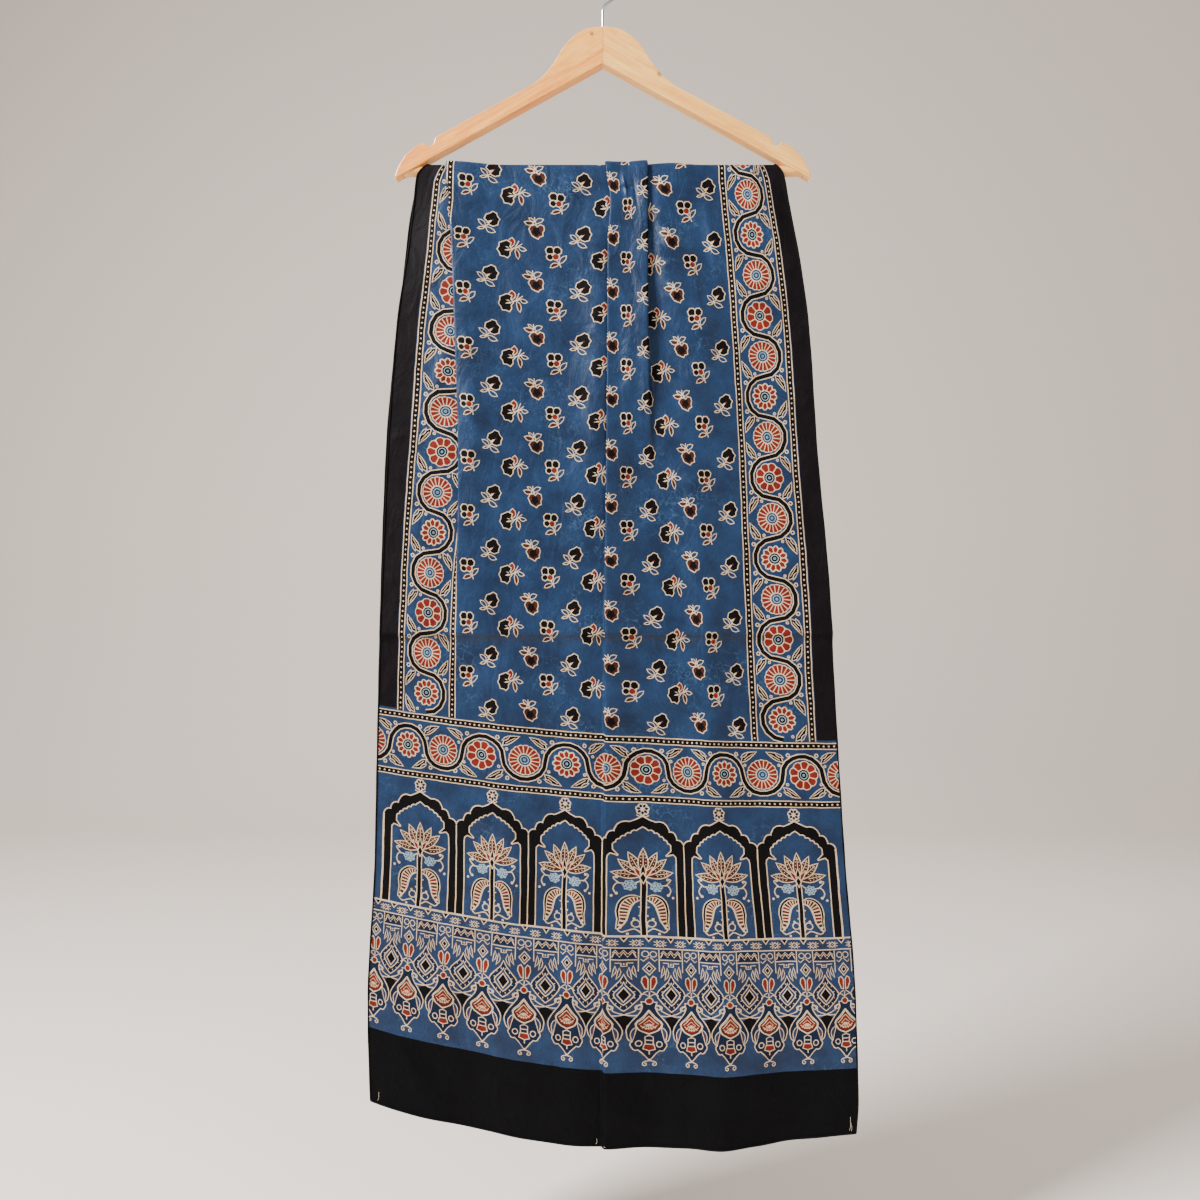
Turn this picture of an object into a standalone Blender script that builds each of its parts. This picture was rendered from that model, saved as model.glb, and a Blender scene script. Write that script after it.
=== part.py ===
"""Ajrakh cloth hung over the bar of a flat wooden hanger.

Metres, +Z up. The origin is the inside of the hook's crook, where a rail would carry it. X runs to the
right across the hanger, Y away from the viewer, and everything hangs down along -Z.
"""
import math

import bmesh
import bpy
import numpy as np
from mathutils import Vector

MM = 0.001

# Hanger, all in millimetres
HANGER_HALF_SPAN = 222.5
ARM_THICKNESS = 14.5
ARM_EDGE_ROUND = 1.1
WOOD_TOP_DROP = 64.0
SEAM_GAP = 0.3
SEAM_HEIGHT = 40.2
UNDERSIDE_SLOPE = 0.552
NOTCH_MOUTH_OUT = 179.3
NOTCH_FLOOR_OUT = 185.5
NOTCH_RADIUS = 4.9

# Upper outline of one arm: how far out from the seam, and how far below the wood's top
ARM_TOP_OUTLINE = (
    # out, below
    (0.0, 0.0),
    (16.0, 2.3),
    (31.0, 10.3),
    (43.2, 23.5),
    (52.8, 39.2),
    (63.0, 52.0),
    (75.8, 62.4),
    (100.0, 75.6),
)
# The arm's end outside the strap notch, down to its pointed tip
ARM_END_OUTLINE = (
    # out, below
    (191.5, 124.0),
    (201.2, 129.1),
    (211.8, 138.2),
    (217.4, 147.4),
    (220.8, 154.6),
    (222.5, 160.5),
    (221.0, 162.6),
)

# Trouser bar
BAR_RADIUS = 5.8
BAR_BELOW_WOOD_TOP = 152.8
BAR_HALF_LENGTH = 213.8
SOCKET_CLEARANCE = 0.3
SOCKET_DEPTH_OUT = 214.4
BAR_SIDES = 28

# Hook of bent wire
WIRE_RADIUS = 1.75
CROOK_INNER_RADIUS = 17.0
CROOK_JOIN_ANGLE = -50.0
CROOK_TIP_ANGLE = 205.0
SHANK_STRAIGHT = 18.5
SHANK_IN_WOOD = 24.0

# Cloth
CLOTH_WIDTH = 512.0
CLOTH_LENGTH = 2032.0
FRONT_DROP = 1052.6
BACK_DROP = CLOTH_LENGTH - FRONT_DROP
CLOTH_THICKNESS = 1.0
WRAP_RADIUS = BAR_RADIUS + 0.45 + CLOTH_THICKNESS / 2
QUARTER_WRAP = math.pi * WRAP_RADIUS / 2
BORDER = 90.6

# Where five lines of the cloth lie across the hanger, at distances run down from the bar's crest.
# The front drop counts positive and the back drop negative. Each line keeps its own place on the cloth.
HANG_SECTIONS = (
    # run, left edge, left pleat, centre crease, right pleat, right border, right edge
    (-979.4, -240.0, -152.0, 2.0, 66.0, 160.0, 248.0),
    (-800.0, -246.0, -155.0, 2.0, 64.0, 158.0, 246.0),
    (-577.7, -242.5, -157.0, 2.0, 60.0, 152.0, 240.0),
    (-310.9, -234.0, -155.0, 3.0, 52.0, 142.0, 226.0),
    (-108.0, -213.0, -160.0, 3.0, 48.5, 128.0, 205.0),
    (-44.1, -204.5, -164.0, 4.0, 48.0, 124.5, 196.0),
    (-17.4, -198.0, -166.5, 3.0, 48.0, 122.0, 190.0),
    (0.0, -186.5, -167.5, 2.1, 48.0, 122.2, 184.0),
    (17.4, -198.6, -166.5, 4.0, 48.0, 122.5, 193.0),
    (44.1, -202.2, -164.3, 7.5, 48.0, 124.8, 198.5),
    (97.5, -208.8, -161.5, 4.6, 48.0, 130.2, 209.0),
    (182.8, -220.4, -158.5, 4.3, 48.5, 136.6, 219.8),
    (310.9, -229.4, -154.7, 3.2, 51.0, 144.1, 228.4),
    (449.6, -235.3, -155.3, 2.1, 57.0, 149.4, 240.6),
    (577.7, -239.6, -157.0, 2.1, 63.5, 155.3, 247.5),
    (748.4, -243.3, -157.5, 1.0, 66.5, 166.0, 258.0),
    (897.8, -250.5, -162.0, 0.0, 69.5, 177.5, 269.3),
    (1004.5, -247.5, -160.5, 1.0, 69.5, 178.5, 271.5),
    (1052.6, -244.0, -158.0, 1.0, 69.5, 178.0, 268.0),
)
# How far the rows of the cloth run low: a slope from left to right, and a rise of both edges
SKEW_SECTIONS = (
    # run, slope, edge rise
    (-979.4, 10.0, -24.0),
    (-577.7, 14.0, -10.0),
    (-200.0, 16.0, 4.0),
    (0.0, 16.0, 17.0),
    (182.8, 17.0, 15.0),
    (577.7, 18.7, 9.1),
    (970.0, 22.0, 24.5),
    (1052.6, 17.1, 31.0),
)
# Pleats and creases: the place of the visible fold line on the cloth, the side that lies on top, the
# length of cloth in each turn, how far the raised side takes to settle, and the width that is hidden
FOLD_SECTIONS = {
    "left_pleat": {
        "place": ((-400.0, 90.0), (0.0, 79.0), (60.0, 84.0), (110.0, 90.2), (1052.6, 90.2)),
        "on_top": 1,
        "turn": 5.0,
        "settle": 62.0,
        "hidden": ((-620.0, 0.0), (-300.0, 18.0), (0.0, 39.5), (97.5, 39.0), (182.8, 33.0),
                   (310.9, 23.5), (449.6, 14.0), (577.7, 7.5), (690.0, 1.0), (760.0, 0.0)),
    },
    "centre_crease": {
        "place": ((-979.4, 262.0), (1052.6, 262.0)),
        "on_top": 1,
        "turn": 5.5,
        "settle": 40.0,
        "hidden": ((-979.4, 3.0), (-300.0, 8.0), (0.0, 16.0), (182.8, 16.0), (310.9, 11.0),
                   (449.6, 6.5), (577.7, 5.0), (1052.6, 3.5)),
    },
    "right_pleat": {
        "place": ((-979.4, 318.0), (1052.6, 318.0)),
        "on_top": -1,
        "turn": 6.5,
        "settle": 46.0,
        "hidden": ((-400.0, 0.0), (-160.0, 12.0), (0.0, 31.0), (44.1, 24.0), (97.5, 16.0),
                   (182.8, 7.5), (260.0, 1.5), (330.0, 0.0)),
    },
}
STEEPEST_FOLD = math.radians(175.0)
# Over the bar the folded layers are pressed to this share of their free height
PRESS_ON_BAR = 0.64
PRESS_FADE = 70.0
HALF_WAY_RUN = 520.0
# Soft rolls of the cloth: place across it, half width, and depth at the crest, half way and at the hem
SOFT_ROLLS = (
    # place, half width, at crest, half way, at hem
    (150.0, 55.0, 0.0, 2.5, 3.0),
    (232.0, 30.0, 0.0, 1.0, 1.5),
    (372.0, 34.0, 2.0, 3.5, 5.0),
    (440.0, 40.0, 0.0, -2.0, -3.0),
)
EDGE_CURL_DEPTH = 4.5
EDGE_CURL_WIDTH = 26.0
EDGE_CURL_RUN = 75.0
EDGE_CURL_LENGTH = 55.0
EDGE_CURL_CLEARANCE = 30.0
PACKING_CREASE_RUN = 508.0
PACKING_CREASE_HEIGHT = 2.4
PACKING_CREASE_WIDTH = 9.0
HEM_WAVE_HEIGHT = 3.0
HEM_WAVE_LENGTH = 168.0
HEM_WAVE_START = 860.0

# Rows of the solid along the cloth, as run from the crest
FRONT_ROWS = (FRONT_DROP, 1036.0, 985.0, 925.0, 860.0, 780.0, 700.0, 620.0, 550.0, 524.0, 508.0, 492.0,
              465.0, 400.0, 330.0, 265.0, 205.0, 155.0, 112.0, 76.0, 46.0, 26.0, 15.0)
BACK_ROWS = (-15.0, -30.0, -60.0, -110.0, -180.0, -270.0, -380.0, -520.0, -680.0, -840.0, -BACK_DROP)
LEVEL_ROWS_END = 520.0
LEVEL_ROWS_FADE = 420.0
SHORTEST_STEP = 0.4
FINE = np.linspace(0.0, CLOTH_WIDTH, 1025)
WRAP_STEPS = 8
TURN_STEPS = 4
PANEL_STEPS = {"left border": 3, "left field": 6, "band": 3, "right field": 4, "right border": 4}

BAR_HEIGHT = -(WOOD_TOP_DROP + BAR_BELOW_WOOD_TOP)


def clear_scene():
    """Remove every object of the opened file."""
    for thing in list(bpy.data.objects):
        bpy.data.objects.remove(thing, do_unlink=True)


def make_material(name, colour, roughness, metallic=0.0):
    """A plain Principled material."""
    material = bpy.data.materials.new(name)
    material.use_nodes = True
    shader = material.node_tree.nodes["Principled BSDF"]
    shader.inputs["Base Color"].default_value = (*colour, 1.0)
    shader.inputs["Roughness"].default_value = roughness
    shader.inputs["Metallic"].default_value = metallic
    return material


def smooth_value(rows, position, column=1):
    """Read one column of a table at a position, on a smooth curve through its rows."""
    places = np.array([row[0] for row in rows], dtype=float)
    values = np.array([row[column] for row in rows], dtype=float)
    position = np.clip(position, places[0], places[-1])
    steps = np.diff(places)
    slopes = np.diff(values) / steps
    tangents = np.empty_like(values)
    tangents[0], tangents[-1] = slopes[0], slopes[-1]
    same_way = slopes[1:] * slopes[:-1] > 0
    weighted = 2 * slopes[1:] * slopes[:-1] / np.where(same_way, slopes[1:] + slopes[:-1], 1.0)
    tangents[1:-1] = np.where(same_way, weighted, 0.0)
    index = np.clip(np.searchsorted(places, position, side="right") - 1, 0, len(steps) - 1)
    step = steps[index]
    s = (position - places[index]) / step
    start = (2 * s**3 - 3 * s**2 + 1) * values[index] + (s**3 - 2 * s**2 + s) * step * tangents[index]
    end = (3 * s**2 - 2 * s**3) * values[index + 1] + (s**3 - s**2) * step * tangents[index + 1]
    return start + end


def smooth_step(x):
    """Rise from 0 to 1 between 0 and 1, level at both ends."""
    x = np.clip(x, 0.0, 1.0)
    return x * x * (3 - 2 * x)


def bump(x):
    """A soft hump, 1 at 0 and level with the ground at -1 and 1."""
    return smooth_step(1 - np.abs(x))


# Width lost in one turn of unit length, for each steepest angle
ANGLE_TABLE = np.linspace(0.0, STEEPEST_FOLD, 120)
TURN_SAMPLES = smooth_step(np.linspace(0.0, 1.0, 60))
TURN_LOSS = np.array([np.mean(1 - np.cos(angle * TURN_SAMPLES)) for angle in ANGLE_TABLE])


def fold_shape(fold, run):
    """The steepest angle of one fold, and where it starts and ends, at distances down the cloth."""
    hidden = smooth_value(fold["hidden"], run)
    place = smooth_value(fold["place"], run)
    turn = fold["turn"]
    most_in_turns = 2 * turn * TURN_LOSS[-1]
    steepest = np.interp(hidden / (2 * turn), TURN_LOSS, ANGLE_TABLE)
    flat = np.maximum(hidden - most_in_turns, 0.0) / (1 - math.cos(STEEPEST_FOLD))
    if fold["on_top"] > 0:
        end = place + turn / 2
        start = end - 2 * turn - flat
    else:
        start = place - turn / 2
        end = start + 2 * turn + flat
    return steepest, start, end


def row_skew(across, run):
    """How much farther down the cloth a point of a row lies than the row's middle."""
    side = across / (CLOTH_WIDTH / 2) - 1
    slope = smooth_value(SKEW_SECTIONS, run, 1)
    rise = smooth_value(SKEW_SECTIONS, run, 2)
    return slope * side - rise * side * side


def section_curves(runs):
    """A section across the cloth for each run: sideways place and height off the wrap, at FINE places."""
    down = np.asarray(runs, dtype=float)[:, None]
    step = FINE[1] - FINE[0]
    angle = np.zeros((len(down), len(FINE)))
    height = np.zeros_like(angle)
    lines = [np.zeros_like(down)]
    for fold in FOLD_SECTIONS.values():
        steepest, start, end = fold_shape(fold, down)
        rising = smooth_step((FINE - start) / fold["turn"])
        falling = smooth_step((end - FINE) / fold["turn"])
        bend = steepest * np.minimum(rising, falling)
        angle += bend
        climb = np.cumsum(np.sin(bend), axis=1) * step
        if fold["on_top"] > 0:
            height += climb * (1 - smooth_step((FINE - end) / fold["settle"]))
        else:
            height += (climb[:, -1:] - climb) * (1 - smooth_step((start - FINE) / fold["settle"]))
        lines.append(smooth_value(fold["place"], down))
    lines += [np.full_like(down, CLOTH_WIDTH - BORDER), np.full_like(down, CLOTH_WIDTH)]
    lines = np.hstack(lines)
    sideways = np.zeros_like(angle)
    sideways[:, 1:] = np.cumsum(np.cos((angle[:, 1:] + angle[:, :-1]) / 2), axis=1) * step
    landed = lines + 0.0
    for column in range(lines.shape[1]):
        run_there = down[:, 0] + row_skew(lines[:, column], down[:, 0])
        landed[:, column] = smooth_value(HANG_SECTIONS, run_there, column + 1)
    for row, places in enumerate(lines):
        shift = landed[row] - np.interp(places, FINE, sideways[row])
        sideways[row] += smooth_value(list(zip(places, shift)), FINE)
    path = down + row_skew(FINE, down)
    pressed = PRESS_ON_BAR + (1 - PRESS_ON_BAR) * smooth_step((np.abs(path) - QUARTER_WRAP) / PRESS_FADE)
    height = height * pressed + soft_relief(down, path)
    return sideways, height


def soft_relief(run, path):
    """Rolls, edge curls, the packing crease and the waves at the hem, at FINE places."""
    low = smooth_step(np.abs(run) / HALF_WAY_RUN)
    lowest = smooth_step((np.abs(run) - HALF_WAY_RUN) / HALF_WAY_RUN)
    relief = np.zeros_like(path)
    for place, half_width, at_crest, half_way, at_hem in SOFT_ROLLS:
        depth = at_crest + (half_way - at_crest) * low + (at_hem - half_way) * lowest
        relief += depth * bump((FINE - place) / half_width)
    clear_of_bar = smooth_step((np.abs(path) - QUARTER_WRAP) / EDGE_CURL_CLEARANCE)
    curl = EDGE_CURL_DEPTH * np.exp(-((np.abs(path) - EDGE_CURL_RUN) / EDGE_CURL_LENGTH) ** 2)
    for edge in (0.0, CLOTH_WIDTH):
        relief -= curl * clear_of_bar * smooth_step(1 - np.abs(FINE - edge) / EDGE_CURL_WIDTH)
    relief += PACKING_CREASE_HEIGHT * np.exp(-np.abs(run - PACKING_CREASE_RUN) / PACKING_CREASE_WIDTH)
    wave = smooth_step((np.abs(run) - HEM_WAVE_START) / (FRONT_DROP - HEM_WAVE_START))
    relief += HEM_WAVE_HEIGHT * wave * (1 + np.sin(2 * math.pi * FINE / HEM_WAVE_LENGTH))
    return relief


def run_on_row(row, across):
    """Rows of the solid lie level near the bar and follow the weave towards the hems."""
    level = 1 - smooth_step((abs(row) - LEVEL_ROWS_END) / LEVEL_ROWS_FADE)
    run = row
    for _ in range(4):
        run = row - level * row_skew(across, run)
    return run


def row_places(row):
    """Places across the cloth for one row: even steps in the panels, close steps in the folds."""
    places = [0.0]
    panels = iter(PANEL_STEPS.values())
    for fold in FOLD_SECTIONS.values():
        run = run_on_row(row, smooth_value(fold["place"], row))
        start, end = (float(value) for value in fold_shape(fold, run)[1:])
        turn = fold["turn"]
        places += list(np.linspace(places[-1], start, next(panels) + 1)[1:])
        places += list(np.linspace(start, start + turn, TURN_STEPS + 1)[1:])
        places += list(np.linspace(max(end - turn, start + turn + SHORTEST_STEP), end, TURN_STEPS + 1))
    border_start = CLOTH_WIDTH - BORDER
    places += list(np.linspace(places[-1], border_start, next(panels) + 1)[1:])
    places += list(np.linspace(border_start, CLOTH_WIDTH, next(panels) + 1)[1:])
    return np.array(places)


def cloth_row(row):
    """Points of the cloth's middle surface along one row, in millimetres."""
    places = row_places(row)
    runs = run_on_row(row, places)
    sideways, height = section_curves(runs)
    sideways = np.array([np.interp(place, FINE, curve) for place, curve in zip(places, sideways)])
    height = np.array([np.interp(place, FINE, curve) for place, curve in zip(places, height)])
    path = runs + row_skew(places, runs)
    turn = np.clip(path / WRAP_RADIUS, -math.pi / 2, math.pi / 2)
    hanging = np.maximum(np.abs(path) - QUARTER_WRAP, 0.0)
    depth = -(WRAP_RADIUS + height) * np.sin(turn)
    up = BAR_HEIGHT + (WRAP_RADIUS + height) * np.cos(turn) - hanging
    return np.stack([sideways, depth, up], axis=-1)


def make_cloth():
    """The cloth as one closed sheet: over the bar, down the front and down the back."""
    wrap = list(np.linspace(QUARTER_WRAP, -QUARTER_WRAP, WRAP_STEPS + 1))
    rows_down = list(FRONT_ROWS) + wrap + list(BACK_ROWS)
    middle = np.array([cloth_row(row) for row in rows_down])
    along = np.gradient(middle, axis=0)
    across = np.gradient(middle, axis=1)
    normal = np.cross(across, along)
    normal /= np.linalg.norm(normal, axis=-1, keepdims=True)
    half = CLOTH_THICKNESS / 2
    outer = (middle + normal * half) * MM
    inner = (middle - normal * half) * MM
    rows, columns = middle.shape[:2]
    count = rows * columns
    points = np.concatenate([outer.reshape(-1, 3), inner.reshape(-1, 3)])

    def outer_index(row, column):
        return row * columns + column

    def inner_index(row, column):
        return count + row * columns + column

    faces = []
    for row in range(rows - 1):
        for column in range(columns - 1):
            a, b = outer_index(row, column), outer_index(row, column + 1)
            c, d = outer_index(row + 1, column + 1), outer_index(row + 1, column)
            for corners in ((a, b, c), (a, c, d)):
                faces.append(corners)
                faces.append(tuple(count + corner for corner in reversed(corners)))
    for column in range(columns - 1):
        for row in (0, rows - 1):
            a, b = outer_index(row, column), outer_index(row, column + 1)
            c, d = inner_index(row, column + 1), inner_index(row, column)
            faces.append((d, c, b, a) if row == 0 else (a, b, c, d))
    for row in range(rows - 1):
        for column in (0, columns - 1):
            a, b = outer_index(row, column), outer_index(row + 1, column)
            c, d = inner_index(row + 1, column), inner_index(row, column)
            faces.append((a, b, c, d) if column == 0 else (d, c, b, a))
    mesh = bpy.data.meshes.new("cloth")
    mesh.from_pydata([tuple(point) for point in points], [], faces)
    return finish_mesh(mesh, "cloth", make_material("indigo_cloth", (0.015, 0.06, 0.16), 0.45))


def finish_mesh(mesh, name, material):
    """Turn a mesh's faces outward, shade it smooth and put it in the scene."""
    work = bmesh.new()
    work.from_mesh(mesh)
    bmesh.ops.recalc_face_normals(work, faces=work.faces)
    work.to_mesh(mesh)
    work.free()
    mesh.shade_smooth()
    mesh.set_sharp_from_angle(angle=math.radians(40))
    mesh.materials.append(material)
    thing = bpy.data.objects.new(name, mesh)
    bpy.context.collection.objects.link(thing)
    return thing


def arc_points(centre, radius, start, end, steps):
    """Points on an arc, angles in degrees."""
    angles = np.radians(np.linspace(start, end, steps + 1))
    return [(centre[0] + radius * math.cos(a), centre[1] + radius * math.sin(a)) for a in angles]


def arm_outline():
    """Outline of the right arm as (out, below), clockwise from the top of the seam."""
    hump = []
    last_out = ARM_TOP_OUTLINE[-1][0]
    for out in np.linspace(0.0, last_out, 19):
        hump.append((max(out, SEAM_GAP / 2), float(smooth_value(ARM_TOP_OUTLINE, out))))
    straight_slope = (ARM_TOP_OUTLINE[-1][1] - ARM_TOP_OUTLINE[-2][1]) / (last_out - ARM_TOP_OUTLINE[-2][0])
    lip_below = ARM_TOP_OUTLINE[-1][1] + straight_slope * (NOTCH_MOUTH_OUT - last_out)
    centre = (NOTCH_FLOOR_OUT, lip_below + 4.1)
    notch = [(NOTCH_MOUTH_OUT, lip_below)]
    notch += arc_points(centre, NOTCH_RADIUS, 180.0, 30.0, 7)
    underside = [(HANGER_HALF_SPAN - 2.5, SEAM_HEIGHT + UNDERSIDE_SLOPE * (HANGER_HALF_SPAN - 2.5)),
                 (SEAM_GAP / 2, SEAM_HEIGHT)]
    return hump + notch + list(ARM_END_OUTLINE) + underside


def make_arm(side, colour):
    """One half of the hanger, with its bored socket for the bar and its half of the shank's bore."""
    name = "hanger_arm_right" if side > 0 else "hanger_arm_left"
    work = bmesh.new()
    half = ARM_THICKNESS / 2 * MM
    corners = [work.verts.new((side * out * MM, -half, -(WOOD_TOP_DROP + below) * MM))
               for out, below in arm_outline()]
    face = work.faces.new(corners)
    grown = bmesh.ops.extrude_face_region(work, geom=[face])
    far = [item for item in grown["geom"] if isinstance(item, bmesh.types.BMVert)]
    bmesh.ops.translate(work, verts=far, vec=(0.0, 2 * half, 0.0))
    bmesh.ops.recalc_face_normals(work, faces=work.faces)
    seam = SEAM_GAP * MM
    rims = [edge for edge in work.edges
            if abs(edge.verts[0].co.y - edge.verts[1].co.y) < seam
            and max(abs(edge.verts[0].co.x), abs(edge.verts[1].co.x)) > seam]
    bmesh.ops.bevel(work, geom=rims, offset=ARM_EDGE_ROUND * MM, segments=2, profile=0.5,
                    affect="EDGES", clamp_overlap=True)
    mesh = bpy.data.meshes.new(name)
    work.to_mesh(mesh)
    work.free()
    arm = finish_mesh(mesh, name, make_material(name + "_wood", colour, 0.4))
    bar_socket = make_cutter(name + "_socket", BAR_RADIUS + SOCKET_CLEARANCE, 2 * SOCKET_DEPTH_OUT, BAR_SIDES)
    bar_socket.rotation_euler = (0.0, math.pi / 2, 0.0)
    bar_socket.location = (0.0, 0.0, BAR_HEIGHT * MM)
    shank_bore = make_cutter(name + "_bore", WIRE_RADIUS + SOCKET_CLEARANCE, 2 * (SHANK_IN_WOOD + 1.0), 16)
    shank_bore.location = (0.0, 0.0, -WOOD_TOP_DROP * MM)
    for cutter in (bar_socket, shank_bore):
        cut = arm.modifiers.new(cutter.name, "BOOLEAN")
        cut.operation = "DIFFERENCE"
        cut.object = cutter
    return arm


def make_cutter(name, radius, length, sides):
    """A hidden cylinder along its own Z that bores a hole."""
    work = bmesh.new()
    bmesh.ops.create_cone(work, cap_ends=True, segments=sides, radius1=radius * MM, radius2=radius * MM,
                          depth=length * MM)
    mesh = bpy.data.meshes.new(name)
    work.to_mesh(mesh)
    work.free()
    cutter = bpy.data.objects.new(name, mesh)
    cutter.hide_render = True
    cutter.display_type = "WIRE"
    bpy.context.collection.objects.link(cutter)
    return cutter


def make_bar():
    """The round bar that the cloth hangs over."""
    work = bmesh.new()
    bmesh.ops.create_cone(work, cap_ends=True, segments=BAR_SIDES, radius1=BAR_RADIUS * MM,
                          radius2=BAR_RADIUS * MM, depth=2 * BAR_HALF_LENGTH * MM)
    mesh = bpy.data.meshes.new("trouser_bar")
    work.to_mesh(mesh)
    work.free()
    bar = finish_mesh(mesh, "trouser_bar", make_material("bar_wood", (0.80, 0.60, 0.36), 0.45))
    bar.rotation_euler = (0.0, math.pi / 2, 0.0)
    bar.location = (0.0, 0.0, BAR_HEIGHT * MM)
    return bar


def hook_route():
    """Centre line of the wire as (x, z, thickness factor), from inside the wood to the crook's tip."""
    ring = CROOK_INNER_RADIUS + WIRE_RADIUS
    join = math.radians(CROOK_JOIN_ANGLE)
    join_point = Vector((ring * math.cos(join), -CROOK_INNER_RADIUS + ring * math.sin(join)))
    join_way = Vector((-math.sin(join), math.cos(join)))
    shank_top = Vector((0.0, -WOOD_TOP_DROP + SHANK_STRAIGHT))
    route = [(0.0, -WOOD_TOP_DROP - SHANK_IN_WOOD, 1.0), (0.0, -WOOD_TOP_DROP + 2.0, 1.0)]
    reach = (join_point - shank_top).length * 0.42
    first = shank_top + Vector((0.0, reach))
    second = join_point - join_way * reach
    for s in np.linspace(0.0, 1.0, 10):
        point = (shank_top * (1 - s) ** 3 + first * 3 * s * (1 - s) ** 2
                 + second * 3 * s * s * (1 - s) + join_point * s**3)
        route.append((point.x, point.y, 1.0))
    for angle in np.radians(np.linspace(CROOK_JOIN_ANGLE, CROOK_TIP_ANGLE, 28))[1:]:
        route.append((ring * math.cos(angle), -CROOK_INNER_RADIUS + ring * math.sin(angle), 1.0))
    tip = math.radians(CROOK_TIP_ANGLE)
    way = Vector((-math.sin(tip), math.cos(tip)))
    tip_point = Vector((ring * math.cos(tip), -CROOK_INNER_RADIUS + ring * math.sin(tip)))
    for along, swell in ((1.0, 1.35), (2.4, 1.6), (3.8, 1.35), (4.8, 0.7)):
        point = tip_point + way * along
        route.append((point.x, point.y, swell))
    return route


def make_hook():
    """The steel hook: a straight shank, a side bend, a round crook and a small ball end."""
    curve = bpy.data.curves.new("hook", "CURVE")
    curve.dimensions = "3D"
    curve.bevel_depth = WIRE_RADIUS * MM
    curve.bevel_resolution = 3
    curve.use_fill_caps = True
    route = hook_route()
    spline = curve.splines.new("POLY")
    spline.points.add(len(route) - 1)
    for point, (x, z, swell) in zip(spline.points, route):
        point.co = (x * MM, 0.0, z * MM, 1.0)
        point.radius = swell
    curve.materials.append(make_material("hook_steel", (0.55, 0.56, 0.58), 0.25, 1.0))
    hook = bpy.data.objects.new("hook", curve)
    bpy.context.collection.objects.link(hook)
    return hook


clear_scene()
make_arm(-1, (0.86, 0.56, 0.28))
make_arm(1, (0.90, 0.66, 0.38))
make_bar()
make_hook()
make_cloth()
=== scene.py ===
"""Looks of the ajrakh cloth and its hanger: block-printed cloth in its folds, waxed wood and bright steel.

The print is drawn as shapes on the flat cloth, cut into one sheet of faces, and hung by the folds of the
cloth's solid, but for the left pleat, which here runs out higher up. The flat cloth is measured in
millimetres, u across it and v up from its front hem.
"""
import math

import bpy
import numpy as np
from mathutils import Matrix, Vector
from mathutils.bvhtree import BVHTree
from mathutils.geometry import delaunay_2d_cdt


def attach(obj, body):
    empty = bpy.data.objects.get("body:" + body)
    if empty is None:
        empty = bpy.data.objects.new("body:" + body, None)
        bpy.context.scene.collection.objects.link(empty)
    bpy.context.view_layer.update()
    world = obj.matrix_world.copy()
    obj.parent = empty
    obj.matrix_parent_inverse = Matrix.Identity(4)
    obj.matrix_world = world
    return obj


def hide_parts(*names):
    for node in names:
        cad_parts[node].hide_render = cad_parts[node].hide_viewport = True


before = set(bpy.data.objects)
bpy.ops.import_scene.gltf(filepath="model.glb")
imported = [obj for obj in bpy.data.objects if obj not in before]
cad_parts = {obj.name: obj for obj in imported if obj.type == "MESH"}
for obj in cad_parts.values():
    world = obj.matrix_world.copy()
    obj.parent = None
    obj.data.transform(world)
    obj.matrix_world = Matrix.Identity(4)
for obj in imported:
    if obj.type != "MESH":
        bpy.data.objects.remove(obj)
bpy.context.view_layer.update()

MM = 0.001

# Cloth and bar, in millimetres
CLOTH_WIDTH = 512.0
CLOTH_LENGTH = 2032.0
FRONT_DROP = 1052.6
BACK_DROP = CLOTH_LENGTH - FRONT_DROP
CLOTH_THICKNESS = 1.0
BAR_RADIUS = 5.8
BAR_HEIGHT = -216.8
WRAP_RADIUS = BAR_RADIUS + 0.45 + CLOTH_THICKNESS / 2
QUARTER_WRAP = math.pi * WRAP_RADIUS / 2
BORDER = 90.6
HEM_RADIUS = 0.9
STITCH_RADIUS = 0.14
# Both ends of each stitch on the flat cloth
STITCHES = ((8.0, 3.0, 10.5, 13.0), (250.0, 2.0, 251.5, 8.0), (505.0, 4.0, 505.5, 21.0),
            (507.0, 3.0, 506.5, 14.0))

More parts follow.
